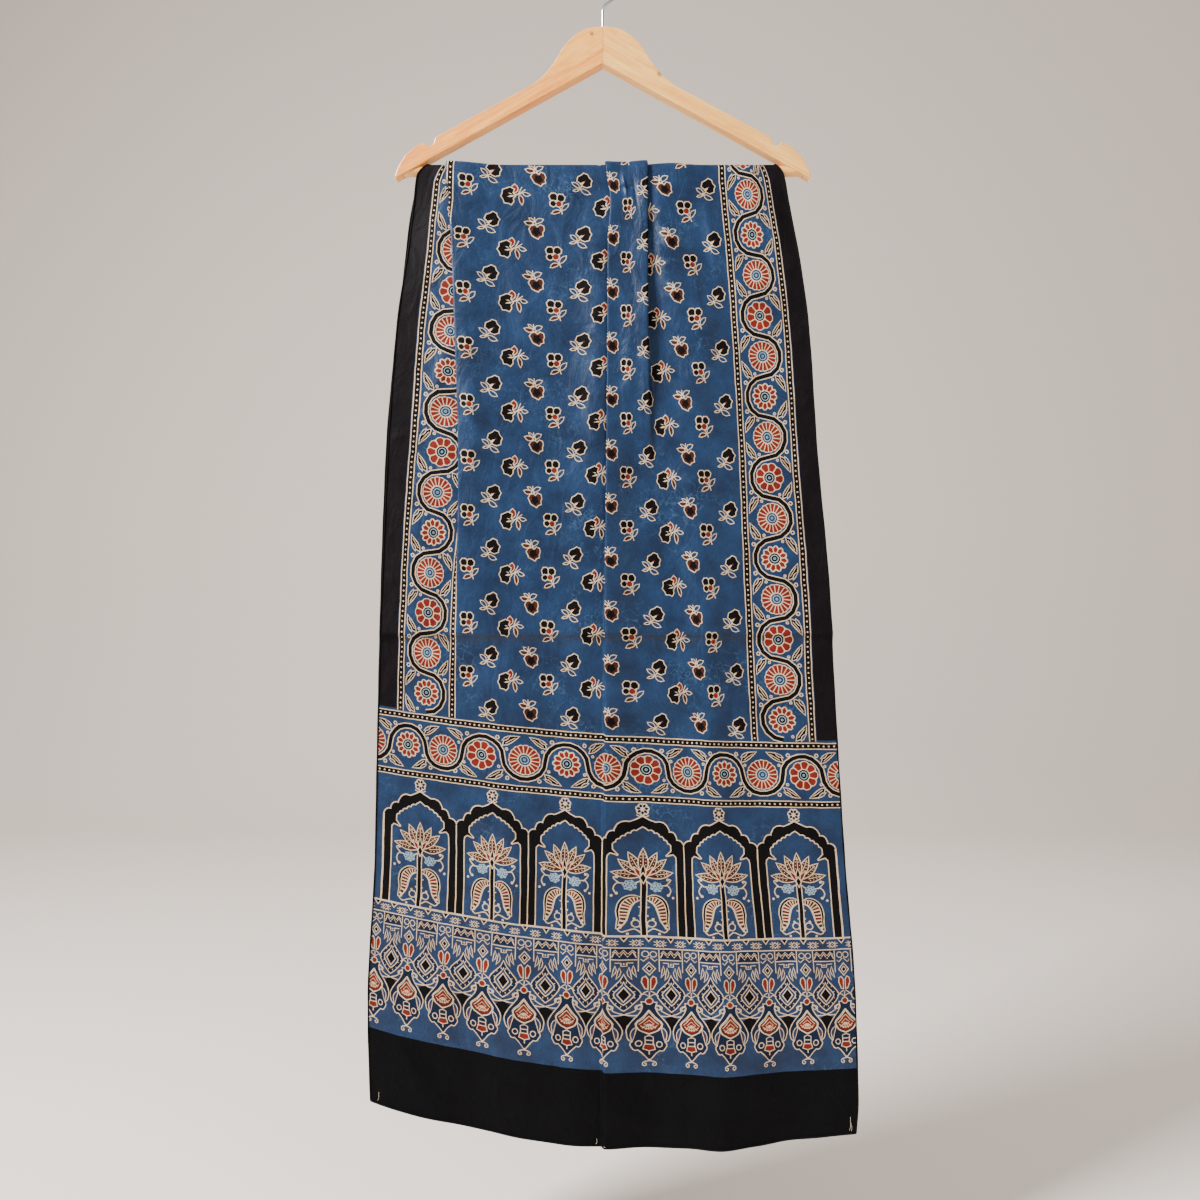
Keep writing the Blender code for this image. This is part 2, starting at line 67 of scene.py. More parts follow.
# Where five lines of the cloth lie across the hanger, at distances run down from the bar's crest.
# The front drop counts positive and the back drop negative. Each line keeps its own place on the cloth.
HANG_SECTIONS = (
    # run, left edge, left pleat, centre crease, right pleat, right border, right edge
    (-979.4, -240.0, -152.0, 2.0, 66.0, 160.0, 248.0),
    (-800.0, -246.0, -155.0, 2.0, 64.0, 158.0, 246.0),
    (-577.7, -242.5, -157.0, 2.0, 60.0, 152.0, 240.0),
    (-310.9, -234.0, -155.0, 3.0, 52.0, 142.0, 226.0),
    (-108.0, -213.0, -160.0, 3.0, 48.5, 128.0, 205.0),
    (-44.1, -204.5, -164.0, 4.0, 48.0, 124.5, 196.0),
    (-17.4, -198.0, -166.5, 3.0, 48.0, 122.0, 190.0),
    (0.0, -186.5, -167.5, 2.1, 48.0, 122.2, 184.0),
    (17.4, -198.6, -166.5, 4.0, 48.0, 122.5, 193.0),
    (44.1, -202.2, -164.3, 7.5, 48.0, 124.8, 198.5),
    (97.5, -208.8, -161.5, 4.6, 48.0, 130.2, 209.0),
    (182.8, -220.4, -158.5, 4.3, 48.5, 136.6, 219.8),
    (310.9, -229.4, -154.7, 3.2, 51.0, 144.1, 228.4),
    (449.6, -235.3, -155.3, 2.1, 57.0, 149.4, 240.6),
    (577.7, -239.6, -157.0, 2.1, 63.5, 155.3, 247.5),
    (748.4, -243.3, -157.5, 1.0, 66.5, 166.0, 258.0),
    (897.8, -250.5, -162.0, 0.0, 69.5, 177.5, 269.3),
    (1004.5, -247.5, -160.5, 1.0, 69.5, 178.5, 271.5),
    (1052.6, -244.0, -158.0, 1.0, 69.5, 178.0, 268.0),
)
# How far the rows of the cloth run low: a slope from left to right, and a rise of both edges
SKEW_SECTIONS = (
    # run, slope, edge rise
    (-979.4, 10.0, -24.0),
    (-577.7, 14.0, -10.0),
    (-200.0, 16.0, 4.0),
    (0.0, 16.0, 17.0),
    (182.8, 17.0, 15.0),
    (577.7, 18.7, 9.1),
    (970.0, 22.0, 24.5),
    (1052.6, 17.1, 31.0),
)
# Pleats and creases: the place of the visible fold line on the cloth, the side that lies on top, the
# length of cloth in each turn, how far the raised side takes to settle, and the width that is hidden
FOLD_SECTIONS = {
    "left_pleat": {
        "place": ((-400.0, 90.0), (0.0, 79.0), (60.0, 84.0), (110.0, 90.2), (1052.6, 90.2)),
        "on_top": 1,
        "turn": 5.0,
        "settle": 62.0,
        "hidden": ((-620.0, 0.0), (-300.0, 18.0), (0.0, 39.5), (97.5, 39.0), (182.8, 33.0),
                   (310.9, 21.0), (400.0, 9.0), (470.0, 2.0), (560.0, 0.0)),
    },
    "centre_crease": {
        "place": ((-979.4, 262.0), (1052.6, 262.0)),
        "on_top": 1,
        "turn": 5.5,
        "settle": 40.0,
        "hidden": ((-979.4, 3.0), (-300.0, 8.0), (0.0, 16.0), (182.8, 16.0), (310.9, 11.0),
                   (449.6, 6.5), (577.7, 5.0), (1052.6, 3.5)),
    },
    "right_pleat": {
        "place": ((-979.4, 318.0), (1052.6, 318.0)),
        "on_top": -1,
        "turn": 6.5,
        "settle": 46.0,
        "hidden": ((-400.0, 0.0), (-160.0, 12.0), (0.0, 31.0), (44.1, 24.0), (97.5, 16.0),
                   (182.8, 7.5), (260.0, 1.5), (330.0, 0.0)),
    },
}
STEEPEST_FOLD = math.radians(175.0)
# Over the bar the folded layers are pressed to this share of their free height
PRESS_ON_BAR = 0.64
PRESS_FADE = 70.0
HALF_WAY_RUN = 520.0
# Soft rolls of the cloth: place across it, half width, and depth at the crest, half way and at the hem
SOFT_ROLLS = (
    # place, half width, at crest, half way, at hem
    (150.0, 55.0, 0.0, 2.5, 3.0),
    (232.0, 30.0, 0.0, 1.0, 1.5),
    (372.0, 34.0, 2.0, 3.5, 5.0),
    (440.0, 40.0, 0.0, -2.0, -3.0),
)
EDGE_CURL_DEPTH = 4.5
EDGE_CURL_WIDTH = 26.0
EDGE_CURL_RUN = 75.0
EDGE_CURL_LENGTH = 55.0
EDGE_CURL_CLEARANCE = 30.0
PACKING_CREASE_RUN = 508.0
PACKING_CREASE_HEIGHT = 4.5
PACKING_CREASE_WIDTH = 55.0
PACKING_CREASE_DROP = 4.0
HEM_WAVE_HEIGHT = 3.0
HEM_WAVE_LENGTH = 168.0
HEM_WAVE_START = 860.0
FINE = np.linspace(0.0, CLOTH_WIDTH, 1025)
SECTION_STEP = 2.0

# Soft creases pressed into the hung cloth: both ends as place across and run down, height and width
CREASES = (
    # across, run, across, run, height, width
    (283.0, 8.0, 286.0, 46.0, 2.6, 2.6),
    (296.0, 8.0, 303.0, 54.0, -1.6, 2.6),
    (270.0, 31.0, 302.0, 29.0, -2.2, 2.2),
    (236.0, 12.0, 240.0, 440.0, 4.5, 14.0),
    (288.0, 120.0, 292.0, 340.0, 2.0, 9.0),
    (354.0, -4.0, 358.0, 200.0, 5.0, 12.0),
    (376.0, 70.0, 400.0, 260.0, 2.6, 12.0),
    (404.0, 10.0, 410.0, 150.0, 2.4, 7.0),
    (103.0, 110.0, 106.0, 440.0, 3.6, 10.0),
    (136.0, 60.0, 176.0, 250.0, 1.5, 12.0),
    (190.0, 30.0, 222.0, 50.0, 0.9, 2.4),
    (150.0, 310.0, 215.0, 372.0, 1.5, 10.0),
    (112.0, 214.0, 196.0, 236.0, 2.4, 5.0),
    (284.0, 200.0, 392.0, 250.0, 4.2, 6.0),
    (300.0, 232.0, 356.0, 268.0, 1.8, 6.0),
    (340.0, 262.0, 404.0, 190.0, 1.5, 9.0),
    (424.0, 60.0, 446.0, 230.0, 1.8, 9.0),
    (466.0, 90.0, 480.0, 260.0, -1.3, 8.0),
    (58.0, 200.0, 32.0, 330.0, 1.6, 9.0),
    (22.0, 380.0, 60.0, 470.0, 1.3, 9.0),
    (0.0, 330.0, 20.0, 320.0, 1.1, 4.0),
    (0.0, 468.0, 20.0, 482.0, 1.1, 4.0),
    (494.0, 262.0, 512.0, 250.0, 1.2, 4.0),
    (494.0, 395.0, 512.0, 402.0, 1.2, 4.0),
    (116.0, 476.0, 152.0, 482.0, 1.1, 3.5),
    (330.0, 330.0, 420.0, 352.0, 1.5, 9.0),
    (380.0, 424.0, 470.0, 402.0, 1.3, 9.0),
    (300.0, 520.0, 350.0, 600.0, 1.3, 11.0),
    (140.0, 600.0, 240.0, 590.0, 1.2, 10.0),
    (10.0, 562.0, 120.0, 545.0, 1.1, 8.0),
    (60.0, 700.0, 160.0, 732.0, 1.3, 10.0),
    (150.0, 668.0, 236.0, 664.0, 0.9, 4.0),
    (320.0, 660.0, 420.0, 640.0, 1.3, 12.0),
    (90.0, 1000.0, 230.0, 985.0, 2.2, 10.0),
    (250.0, 1010.0, 330.0, 1035.0, 2.0, 9.0),
    (360.0, 990.0, 500.0, 1010.0, 2.2, 12.0),
    (20.0, 960.0, 70.0, 1040.0, 1.8, 10.0),
    (140.0, -90.0, 170.0, -260.0, 1.8, 11.0),
    (236.0, -20.0, 240.0, -360.0, 3.4, 14.0),
    (360.0, -110.0, 340.0, -330.0, 2.2, 11.0),
    (430.0, -60.0, 450.0, -240.0, 1.8, 10.0),
    (60.0, -420.0, 160.0, -470.0, 1.4, 12.0),
    (300.0, -560.0, 420.0, -530.0, 1.5, 13.0),
    (80.0, -760.0, 220.0, -740.0, 1.4, 13.0),
)

CREASE_CLEARANCE = 22.0

# Where the sheet is cut finely enough to fold, in millimetres.
# Lines up the folds: first and last place across, step, and the runs where they end, front and back
FOLD_BANDS = (
    (66.0, 94.5, 1.8, 760.0, -620.0),
    (250.0, 266.0, 1.7, FRONT_DROP - 1.0, 1.0 - BACK_DROP),
    (313.5, 338.0, 2.0, 330.0, -400.0),
)
FOLD_LINE_STEP = 12.0
# Every second line up a fold ends this little way behind the bar's crest
HALF_THE_LINES_END = -20.0
ROW_STEP = 9.0
ROWS_OVER_BAR = np.arange(-12.0, 12.5, 2.0)
# Creases narrower than this have lines of their own, at these shares of their width
NARROW_CREASE = 8.0
CREASE_LINES = (-1.2, -0.5, 0.0, 0.5, 1.2)
CREASE_LINE_STEP = 8.0
PACKING_CREASE_LINES = (-10.0, -5.5, -3.0, -1.4, 0.0, 3.0)
FRONT_GROUND_STEP = 11.0
BACK_GROUND_STEP = 18.0

# The print is drawn in units of which the cloth's width has 480
UNIT = CLOTH_WIDTH / 480.0
WIDE = 480.0
LONG = CLOTH_LENGTH / UNIT
END_BAND_TOP = 75.0
MEDALLION_HEIGHT = 110.0
CARTOUCHE_HEIGHT = 153.0
STRAP_TOP = 199.5
ARCH_BASE = 211.5
ARCH_APEX = 331.0
ARCH_PITCH = 77.3
ARCH_MARGIN = 8.1
POST_HALF = ARCH_PITCH / 2
LOWER_LINE = 348.5
CROSS_VINE = 378.0
UPPER_LINE = 407.5
SIDE_START = 412.0
EDGE_WIDTH = 19.75
OUTER_LINE = 24.0
SIDE_VINE = 52.3
INNER_LINE = 80.5
SMALL_PITCH = 40.0
VINE_SWING = 19.3
# Where the hand-set blocks of the cross border landed
CROSS_ROSETTES = (-6.0, 33.0, 71.0, 112.0, 158.0, 202.5, 246.0, 282.0, 323.0, 364.5, 405.0, 445.5, 482.0)
# Where the hand-set blocks of the medallions landed
MEDALLION_PLACES = (-30.0, 5.0, 39.0, 76.0, 116.5, 160.5, 205.0, 244.0, 282.5, 320.0, 356.5, 395.0, 432.5,
                    470.0, 508.0)
SIDE_ROSETTES = 27
FIELD_START = 93.0
FIELD_TILE = 88.0
# Each sprig of a tile: its kind, how far across and how far up
FIELD_OFFSETS = (("F", 0.0, 0.0), ("A", 27.0, -31.0), ("B", 42.5, -3.5), ("C", 71.0, -33.0))
FIELD_COLUMNS = 14
FIELD_FIRST_ROW = 458.6
FIELD_ROW_PITCH = 53.5
FIELD_ROWS = 20
CREAM_LINE = 0.85
# What is too small to show from a step away stays off the back drop: square millimetres, print units
SMALLEST_BACK_MARK = 2.45
THINNEST_BACK_LINE = 0.95
# How far in millimetres a straight ink edge may miss its curve, and how long it may be
FRONT_SLACK = 0.28
BACK_SLACK = 0.7
LONGEST_EDGE = 10.0

# Colours, as 0 to 255 per channel
INKS = {
    "indigo": (10, 35, 66),
    "navy": (8, 22, 44),
    "black": (9, 8, 9),
    "cream": (198, 172, 140),
    "pale": (128, 148, 160),
    "madder": (104, 23, 16),
    "brown": (58, 24, 17),
    "edge": (15, 11, 14),
    "end": (6, 6, 8),
}


def smooth_value(rows, position, column=1):
    """Read one column of a table at a position, on a smooth curve through its rows."""
    places = np.array([row[0] for row in rows], dtype=float)
    values = np.array([row[column] for row in rows], dtype=float)
    position = np.clip(position, places[0], places[-1])
    steps = np.diff(places)
    slopes = np.diff(values) / steps
    tangents = np.empty_like(values)
    tangents[0], tangents[-1] = slopes[0], slopes[-1]
    same_way = slopes[1:] * slopes[:-1] > 0
    weighted = 2 * slopes[1:] * slopes[:-1] / np.where(same_way, slopes[1:] + slopes[:-1], 1.0)
    tangents[1:-1] = np.where(same_way, weighted, 0.0)
    index = np.clip(np.searchsorted(places, position, side="right") - 1, 0, len(steps) - 1)
    step = steps[index]
    s = (position - places[index]) / step
    start = (2 * s**3 - 3 * s**2 + 1) * values[index] + (s**3 - 2 * s**2 + s) * step * tangents[index]
    end = (3 * s**2 - 2 * s**3) * values[index + 1] + (s**3 - s**2) * step * tangents[index + 1]
    return start + end


def smooth_step(x):
    """Rise from 0 to 1 between 0 and 1, level at both ends."""
    x = np.clip(x, 0.0, 1.0)
    return x * x * (3 - 2 * x)


def bump(x):
    """A soft hump, 1 at 0 and level with the ground at -1 and 1."""
    return smooth_step(1 - np.abs(x))


# Width lost in one turn of unit length, for each steepest angle
ANGLE_TABLE = np.linspace(0.0, STEEPEST_FOLD, 120)
TURN_SAMPLES = smooth_step(np.linspace(0.0, 1.0, 60))
TURN_LOSS = np.array([np.mean(1 - np.cos(angle * TURN_SAMPLES)) for angle in ANGLE_TABLE])


def fold_shape(fold, run):
    """The steepest angle of one fold, and where it starts and ends, at distances down the cloth."""
    hidden = smooth_value(fold["hidden"], run)
    place = smooth_value(fold["place"], run)
    turn = fold["turn"]
    most_in_turns = 2 * turn * TURN_LOSS[-1]
    steepest = np.interp(hidden / (2 * turn), TURN_LOSS, ANGLE_TABLE)
    flat = np.maximum(hidden - most_in_turns, 0.0) / (1 - math.cos(STEEPEST_FOLD))
    if fold["on_top"] > 0:
        end = place + turn / 2
        start = end - 2 * turn - flat
    else:
        start = place - turn / 2
        end = start + 2 * turn + flat
    return steepest, start, end


def row_skew(across, run):
    """How much farther down the cloth a point of a row lies than the row's middle."""
    side = across / (CLOTH_WIDTH / 2) - 1
    slope = smooth_value(SKEW_SECTIONS, run, 1)
    rise = smooth_value(SKEW_SECTIONS, run, 2)
    return slope * side - rise * side * side


def section_curves(runs):
    """A section across the cloth for each run: sideways place and height off the wrap, at FINE places."""
    down = np.asarray(runs, dtype=float)[:, None]
    step = FINE[1] - FINE[0]
    angle = np.zeros((len(down), len(FINE)))
    height = np.zeros_like(angle)
    lines = [np.zeros_like(down)]
    for fold in FOLD_SECTIONS.values():
        steepest, start, end = fold_shape(fold, down)
        rising = smooth_step((FINE - start) / fold["turn"])
        falling = smooth_step((end - FINE) / fold["turn"])
        bend = steepest * np.minimum(rising, falling)
        angle += bend
        climb = np.cumsum(np.sin(bend), axis=1) * step
        if fold["on_top"] > 0:
            height += climb * (1 - smooth_step((FINE - end) / fold["settle"]))
        else:
            height += (climb[:, -1:] - climb) * (1 - smooth_step((start - FINE) / fold["settle"]))
        lines.append(smooth_value(fold["place"], down))
    lines += [np.full_like(down, CLOTH_WIDTH - BORDER), np.full_like(down, CLOTH_WIDTH)]
    lines = np.hstack(lines)
    sideways = np.zeros_like(angle)
    sideways[:, 1:] = np.cumsum(np.cos((angle[:, 1:] + angle[:, :-1]) / 2), axis=1) * step
    landed = lines + 0.0
    for column in range(lines.shape[1]):
        run_there = down[:, 0] + row_skew(lines[:, column], down[:, 0])
        landed[:, column] = smooth_value(HANG_SECTIONS, run_there, column + 1)
    for row, places in enumerate(lines):
        shift = landed[row] - np.interp(places, FINE, sideways[row])
        sideways[row] += smooth_value(list(zip(places, shift)), FINE)
    path = down + row_skew(FINE, down)
    pressed = PRESS_ON_BAR + (1 - PRESS_ON_BAR) * smooth_step((np.abs(path) - QUARTER_WRAP) / PRESS_FADE)
    height = height * pressed + soft_relief(down, path)
    return sideways, height


def soft_relief(run, path):
    """Rolls, edge curls, the packing crease and the waves at the hem, at FINE places."""
    low = smooth_step(np.abs(run) / HALF_WAY_RUN)
    lowest = smooth_step((np.abs(run) - HALF_WAY_RUN) / HALF_WAY_RUN)
    relief = np.zeros_like(path)
    for place, half_width, at_crest, half_way, at_hem in SOFT_ROLLS:
        depth = at_crest + (half_way - at_crest) * low + (at_hem - half_way) * lowest
        relief += depth * bump((FINE - place) / half_width)
    clear_of_bar = smooth_step((np.abs(path) - QUARTER_WRAP) / EDGE_CURL_CLEARANCE)
    curl = EDGE_CURL_DEPTH * np.exp(-((np.abs(path) - EDGE_CURL_RUN) / EDGE_CURL_LENGTH) ** 2)
    for edge in (0.0, CLOTH_WIDTH):
        relief -= curl * clear_of_bar * smooth_step(1 - np.abs(FINE - edge) / EDGE_CURL_WIDTH)
    off = path - PACKING_CREASE_RUN
    reach = np.where(off < 0, PACKING_CREASE_WIDTH, PACKING_CREASE_DROP)
    relief += PACKING_CREASE_HEIGHT * np.exp(-np.abs(off) / reach)
    wave = smooth_step((np.abs(run) - HEM_WAVE_START) / (FRONT_DROP - HEM_WAVE_START))
    relief += HEM_WAVE_HEIGHT * wave * (1 + np.sin(2 * math.pi * FINE / HEM_WAVE_LENGTH))
    return relief


class HungCloth:
    """The cloth's shape as it hangs, read from closely spaced sections."""

    def __init__(self):
        count = int(math.ceil(CLOTH_LENGTH / SECTION_STEP)) + 1
        self.runs = np.linspace(-BACK_DROP, FRONT_DROP, count)
        self.sideways, self.height = section_curves(self.runs)

    def read(self, table, u, run):
        """One table at places on the cloth, between its sections and its places."""
        row = np.clip((run - self.runs[0]) / (self.runs[1] - self.runs[0]), 0, len(self.runs) - 1.001)
        column = np.clip(u / (FINE[1] - FINE[0]), 0, len(FINE) - 1.001)
        i, j = row.astype(int), column.astype(int)
        s, t = row - i, column - j
        return ((table[i, j] * (1 - t) + table[i, j + 1] * t) * (1 - s)
                + (table[i + 1, j] * (1 - t) + table[i + 1, j + 1] * t) * s)

    def creases(self, u, run):
        """Height of the soft creases that were pressed in while the cloth was handled."""
        total = np.zeros_like(u)
        for u0, run0, u1, run1, height, width in CREASES:
            way = np.array([u1 - u0, run1 - run0])
            long = np.hypot(*way)
            along = ((u - u0) * way[0] + (run - run0) * way[1]) / long**2
            off = ((u - u0) * way[1] - (run - run0) * way[0]) / long
            total += height * np.exp(-np.abs(off / width) ** 1.5) * bump(2 * along - 1)
        return total

    def place(self, u, v):
        """Points in metres of the hung cloth for places u, v on the flat cloth, in millimetres."""
        run = FRONT_DROP - v
        x = self.read(self.sideways, u, run)
        path = run + row_skew(u, run)
        clear = smooth_step((np.abs(path) - QUARTER_WRAP) / CREASE_CLEARANCE)
        radius = WRAP_RADIUS + self.read(self.height, u, run) + self.creases(u, run) * clear
        turn = np.clip(path / WRAP_RADIUS, -math.pi / 2, math.pi / 2)
        hanging = np.maximum(np.abs(path) - QUARTER_WRAP, 0.0)
        return np.stack([x, -radius * np.sin(turn), BAR_HEIGHT + radius * np.cos(turn) - hanging], -1) * MM

    def outward(self, u, v):
        """The way out of the cloth's face at places on the flat cloth."""
        reach = 0.6
        across = self.place(np.minimum(u + reach, CLOTH_WIDTH), v) - self.place(np.maximum(u - reach, 0.0), v)
        up = self.place(u, np.minimum(v + reach, CLOTH_LENGTH)) - self.place(u, np.maximum(v - reach, 0.0))
        normal = np.cross(across, up)
        return normal / np.maximum(np.linalg.norm(normal, axis=-1, keepdims=True), 1e-12)


# Shapes of the print

def signed_area(points):
    """Area of an outline, positive where it runs anticlockwise."""
    x, y = points[:, 0], points[:, 1]
    return 0.5 * float(np.sum(x * np.roll(y, -1) - np.roll(x, -1) * y))


def grown(outline, distance):
    """A closed outline moved outward, or inward where distance is negative."""
    points = np.asarray(outline, dtype=float)
    way_in = points - np.roll(points, 1, axis=0)
    way_out = np.roll(points, -1, axis=0) - points
    way_in /= np.maximum(np.linalg.norm(way_in, axis=1, keepdims=True), 1e-9)
    way_out /= np.maximum(np.linalg.norm(way_out, axis=1, keepdims=True), 1e-9)
    turn = 1.0 if signed_area(points) > 0 else -1.0
    first = np.stack([way_in[:, 1], -way_in[:, 0]], axis=1) * turn
    second = np.stack([way_out[:, 1], -way_out[:, 0]], axis=1) * turn
    middle = first + second
    middle /= np.maximum(np.linalg.norm(middle, axis=1, keepdims=True), 1e-6)
    lengthen = 1.0 / np.maximum(np.sum(middle * first, axis=1), 0.62)
    return points + middle * (distance * lengthen)[:, None]


def curve(points, per=4, closed=False):
    """A smooth curve through points."""
    points = np.asarray(points, dtype=float)
    count = len(points)
    out = []
    for i in range(count if closed else count - 1):
        if closed:
            a, b, c, d = (points[(i + k) % count] for k in (-1, 0, 1, 2))
        else:
            a, b, c, d = points[max(i - 1, 0)], points[i], points[i + 1], points[min(i + 2, count - 1)]
        for s in np.arange(per) / per:
            out.append(0.5 * (2 * b + (c - a) * s + (2 * a - 5 * b + 4 * c - d) * s**2
                              + (3 * b - a - 3 * c + d) * s**3))
    if not closed:
        out.append(points[-1])
    return np.array(out)


def arcs(corners, bulges, steps=3):
    """Shallow arcs from corner to corner that swell to the left of the way by a share of their length."""
    out = [corners[0]]
    for (x0, y0), (x1, y1), bulge in zip(corners, corners[1:], bulges):
        for s in np.linspace(0.0, 1.0, steps + 1)[1:]:
            lift = bulge * 4 * s * (1 - s)
            out.append((x0 + (x1 - x0) * s - (y1 - y0) * lift, y0 + (y1 - y0) * s + (x1 - x0) * lift))
    return np.array(out)


def mirrored(right):
    """A closed outline from its right half, which runs from top to bottom."""
    right = np.asarray(right, dtype=float)
    left = right[::-1] * (-1, 1)
    left = left[np.abs(left[:, 0]) > 1e-9]
    return np.vstack([right, left])


def disc(x, y, radius, sides=10, turn=0.3):
    """A round outline."""
    angles = turn + np.arange(sides) * 2 * math.pi / sides
    return np.stack([x + radius * np.cos(angles), y + radius * np.sin(angles)], axis=1)


def scalloped(x, y, radius, lobes, depth, per=3, turn=0.0, squash=1.0):
    """A round outline of equal lobes."""
    angles = np.arange(lobes * per) * 2 * math.pi / (lobes * per)
    reach = radius * (1 - depth * (1 - np.abs(np.sin(lobes * angles / 2))))
    angles = angles + turn
    return np.stack([x + reach * np.cos(angles), y + squash * reach * np.sin(angles)], axis=1)


def leaf(base, tip, width, bend=0.0, steps=4, belly=0.8, round_off=1.0):
    """A pointed leaf from its base to its tip, or a rounder loop where round_off is below 1."""
    base, tip = np.array(base, dtype=float), np.array(tip, dtype=float)
    way = tip - base
    long = np.hypot(*way)
    side = np.array([-way[1], way[0]]) / long
    s = np.linspace(0.0, 1.0, steps + 1)
    spine = base + way * s[:, None] + side * (bend * np.sin(math.pi * s))[:, None]
    half = (width / 2 * np.abs(np.sin(math.pi * s**belly)) ** round_off)[:, None] * side
    return np.vstack([spine[:1], (spine - half)[1:-1], spine[-1:], (spine + half)[1:-1][::-1]])


def spiral(x, y, radius, start, turns, steps=9, inner=0.25):
    """An open curl that winds inward from a start angle."""
    s = np.linspace(0.0, 1.0, steps)
    reach = radius * (1 - (1 - inner) * s)
    angles = start + turns * 2 * math.pi * s
    return np.stack([x + reach * np.cos(angles), y + reach * np.sin(angles)], axis=1)


def hand_drift(points):
    """The small drift of hand-printed lines, gone at the cloth's edges."""
    u, v = points[:, 0], points[:, 1]
    inside = np.clip(np.minimum(np.minimum(u, CLOTH_WIDTH - u), np.minimum(v, CLOTH_LENGTH - v)) / 6.0, 0, 1)
    du = 0.20 * np.sin(u / 5.1 + 2.0 * np.sin(v / 17.0)) + 0.16 * np.sin(v / 3.7 + u / 9.0)
    dv = 0.20 * np.sin(v / 5.7 + 2.0 * np.sin(u / 19.0)) + 0.16 * np.sin(u / 4.1 - v / 8.0)
    return points + np.stack([du, dv], axis=1) * inside[:, None]


class Print:
    """Shapes of ink on the flat cloth. A later shape covers an earlier one."""

    def __init__(self):
        self.points, self.faces, self.inks = [], [], []
        self.far_end = False
        self.detail = 1.0
        self.at(0.0, 0.0)

    def at(self, x, y, turn=0.0, flip=1.0, wide=1.0, tall=1.0):
        """Draw from here on in a frame of its own: its origin, turn, mirror and stretch both ways."""
        cos, sin = math.cos(turn), math.sin(turn)
        self.origin = np.array([x, y], dtype=float)
        self.matrix = np.array([[cos * flip * wide, -sin * tall], [sin * flip * wide, cos * tall]])

    def fine(self, most, least):
        """A number of steps for the present level of detail."""
        return max(least, int(round(most * self.detail)))

    def to_cloth(self, outline):
        """Points of the present frame as millimetres on the flat cloth."""
        points = np.asarray(outline, dtype=float) @ self.matrix.T + self.origin
        if self.far_end:
            points[:, 1] = LONG - points[:, 1]
        return hand_drift(points * UNIT)

    def area(self, outline, ink):
        """Fill an outline."""
        points = self.to_cloth(outline)
        if points[:, 1].min() > FRONT_DROP and abs(signed_area(points)) < SMALLEST_BACK_MARK:
            return
        if signed_area(points) < 0:
            points = points[::-1]
        start = len(self.points)
        self.points.extend(points.tolist())
        self.faces.append(list(range(start, start + len(points))))
        self.inks.append(ink)

    def outlined(self, outline, ink, line=CREAM_LINE, rim="cream"):
        """Fill an outline and draw its rim outside it."""
        self.area(grown(outline, line), rim)
        self.area(outline, ink)

    def stroke(self, path, width, ink="cream", closed=False):
        """Draw a line of some width along a path."""
        path = np.asarray(path, dtype=float)
        if closed:
            way = np.roll(path, -1, axis=0) - np.roll(path, 1, axis=0)
        else:
            way = np.gradient(path, axis=0)
        way /= np.maximum(np.linalg.norm(way, axis=1, keepdims=True), 1e-9)
        half = (np.broadcast_to(width, len(path)) / 2)[:, None]
        side = np.stack([-way[:, 1], way[:, 0]], axis=1) * half
        left, right = self.to_cloth(path + side), self.to_cloth(path - side)
        if left[:, 1].min() > FRONT_DROP and np.max(width) <= THINNEST_BACK_LINE:
            return
        start, count = len(self.points), len(path)
        for a, b in zip(left, right):
            self.points.extend((a.tolist(), b.tolist()))
        for i in range(count if closed else count - 1):
            a, b = start + 2 * i, start + 2 * ((i + 1) % count)
            for corners in ((a, a + 1, b + 1), (a, b + 1, b)):
                area = signed_area(np.array([self.points[k] for k in corners]))
                if abs(area) > 1e-6:
                    self.faces.append(list(corners if area > 0 else corners[::-1]))
                    self.inks.append(ink)

    def edged(self, path, width, ink="black", edge=1.2, closed=False):
        """A line with a cream rim on both sides."""
        self.stroke(path, width + 2 * edge, "cream", closed)
        self.stroke(path, width, ink, closed)

    def bar(self, x0, y0, x1, y1, ink):
        """An upright rectangle, with points along its long sides."""
        across = max(1, int(math.ceil(abs(x1 - x0) / 10.0)))
        up = max(1, int(math.ceil(abs(y1 - y0) / 10.0)))
        xs, ys = np.linspace(x0, x1, across + 1), np.linspace(y0, y1, up + 1)
        outline = [(x, y0) for x in xs] + [(x1, y) for y in ys[1:]]
        outline += [(x, y1) for x in xs[::-1][1:]] + [(x0, y) for y in ys[::-1][1:-1]]
        self.area(outline, ink)


def draw_rosette(pen, petals, spin):
    """A madder rosette: narrow wedges where there are many petals, rounded or pointed where there are few."""
    pitch = 2 * math.pi / petals
    reach, depth, shape = {
        18: (15.4, 0.04, ((6.6, -0.33), (14.4, -0.40), (14.4, 0.40), (6.6, 0.33))),
        12: (13.7, 0.15, ((6.5, -0.36), (10.2, -0.42), (12.9, 0.0), (10.2, 0.42), (6.5, 0.36))),
        9: (14.9, 0.09, ((6.6, -0.39), (12.2, -0.44), (14.0, -0.2), (14.0, 0.2), (12.2, 0.44), (6.6, 0.39))),
    }[petals]
    pen.area(scalloped(0, 0, reach, petals, depth, 2 if petals == 18 else pen.fine(4, 3), spin), "cream")
    for k in range(petals):
        middle = (k + 0.5) * pitch + spin
        pen.area([(far * math.cos(middle + share * pitch), far * math.sin(middle + share * pitch))
                  for far, share in shape], "madder")
    sides = pen.fine(12, 8)
    dark = "indigo" if petals == 18 else "black"
    for radius, ink in ((5.6, dark), (4.1, "pale"), (3.2, dark), (1.4, "pale"), (0.6, dark)):
        pen.area(disc(0, 0, radius, sides if radius > 3 else 6), ink)


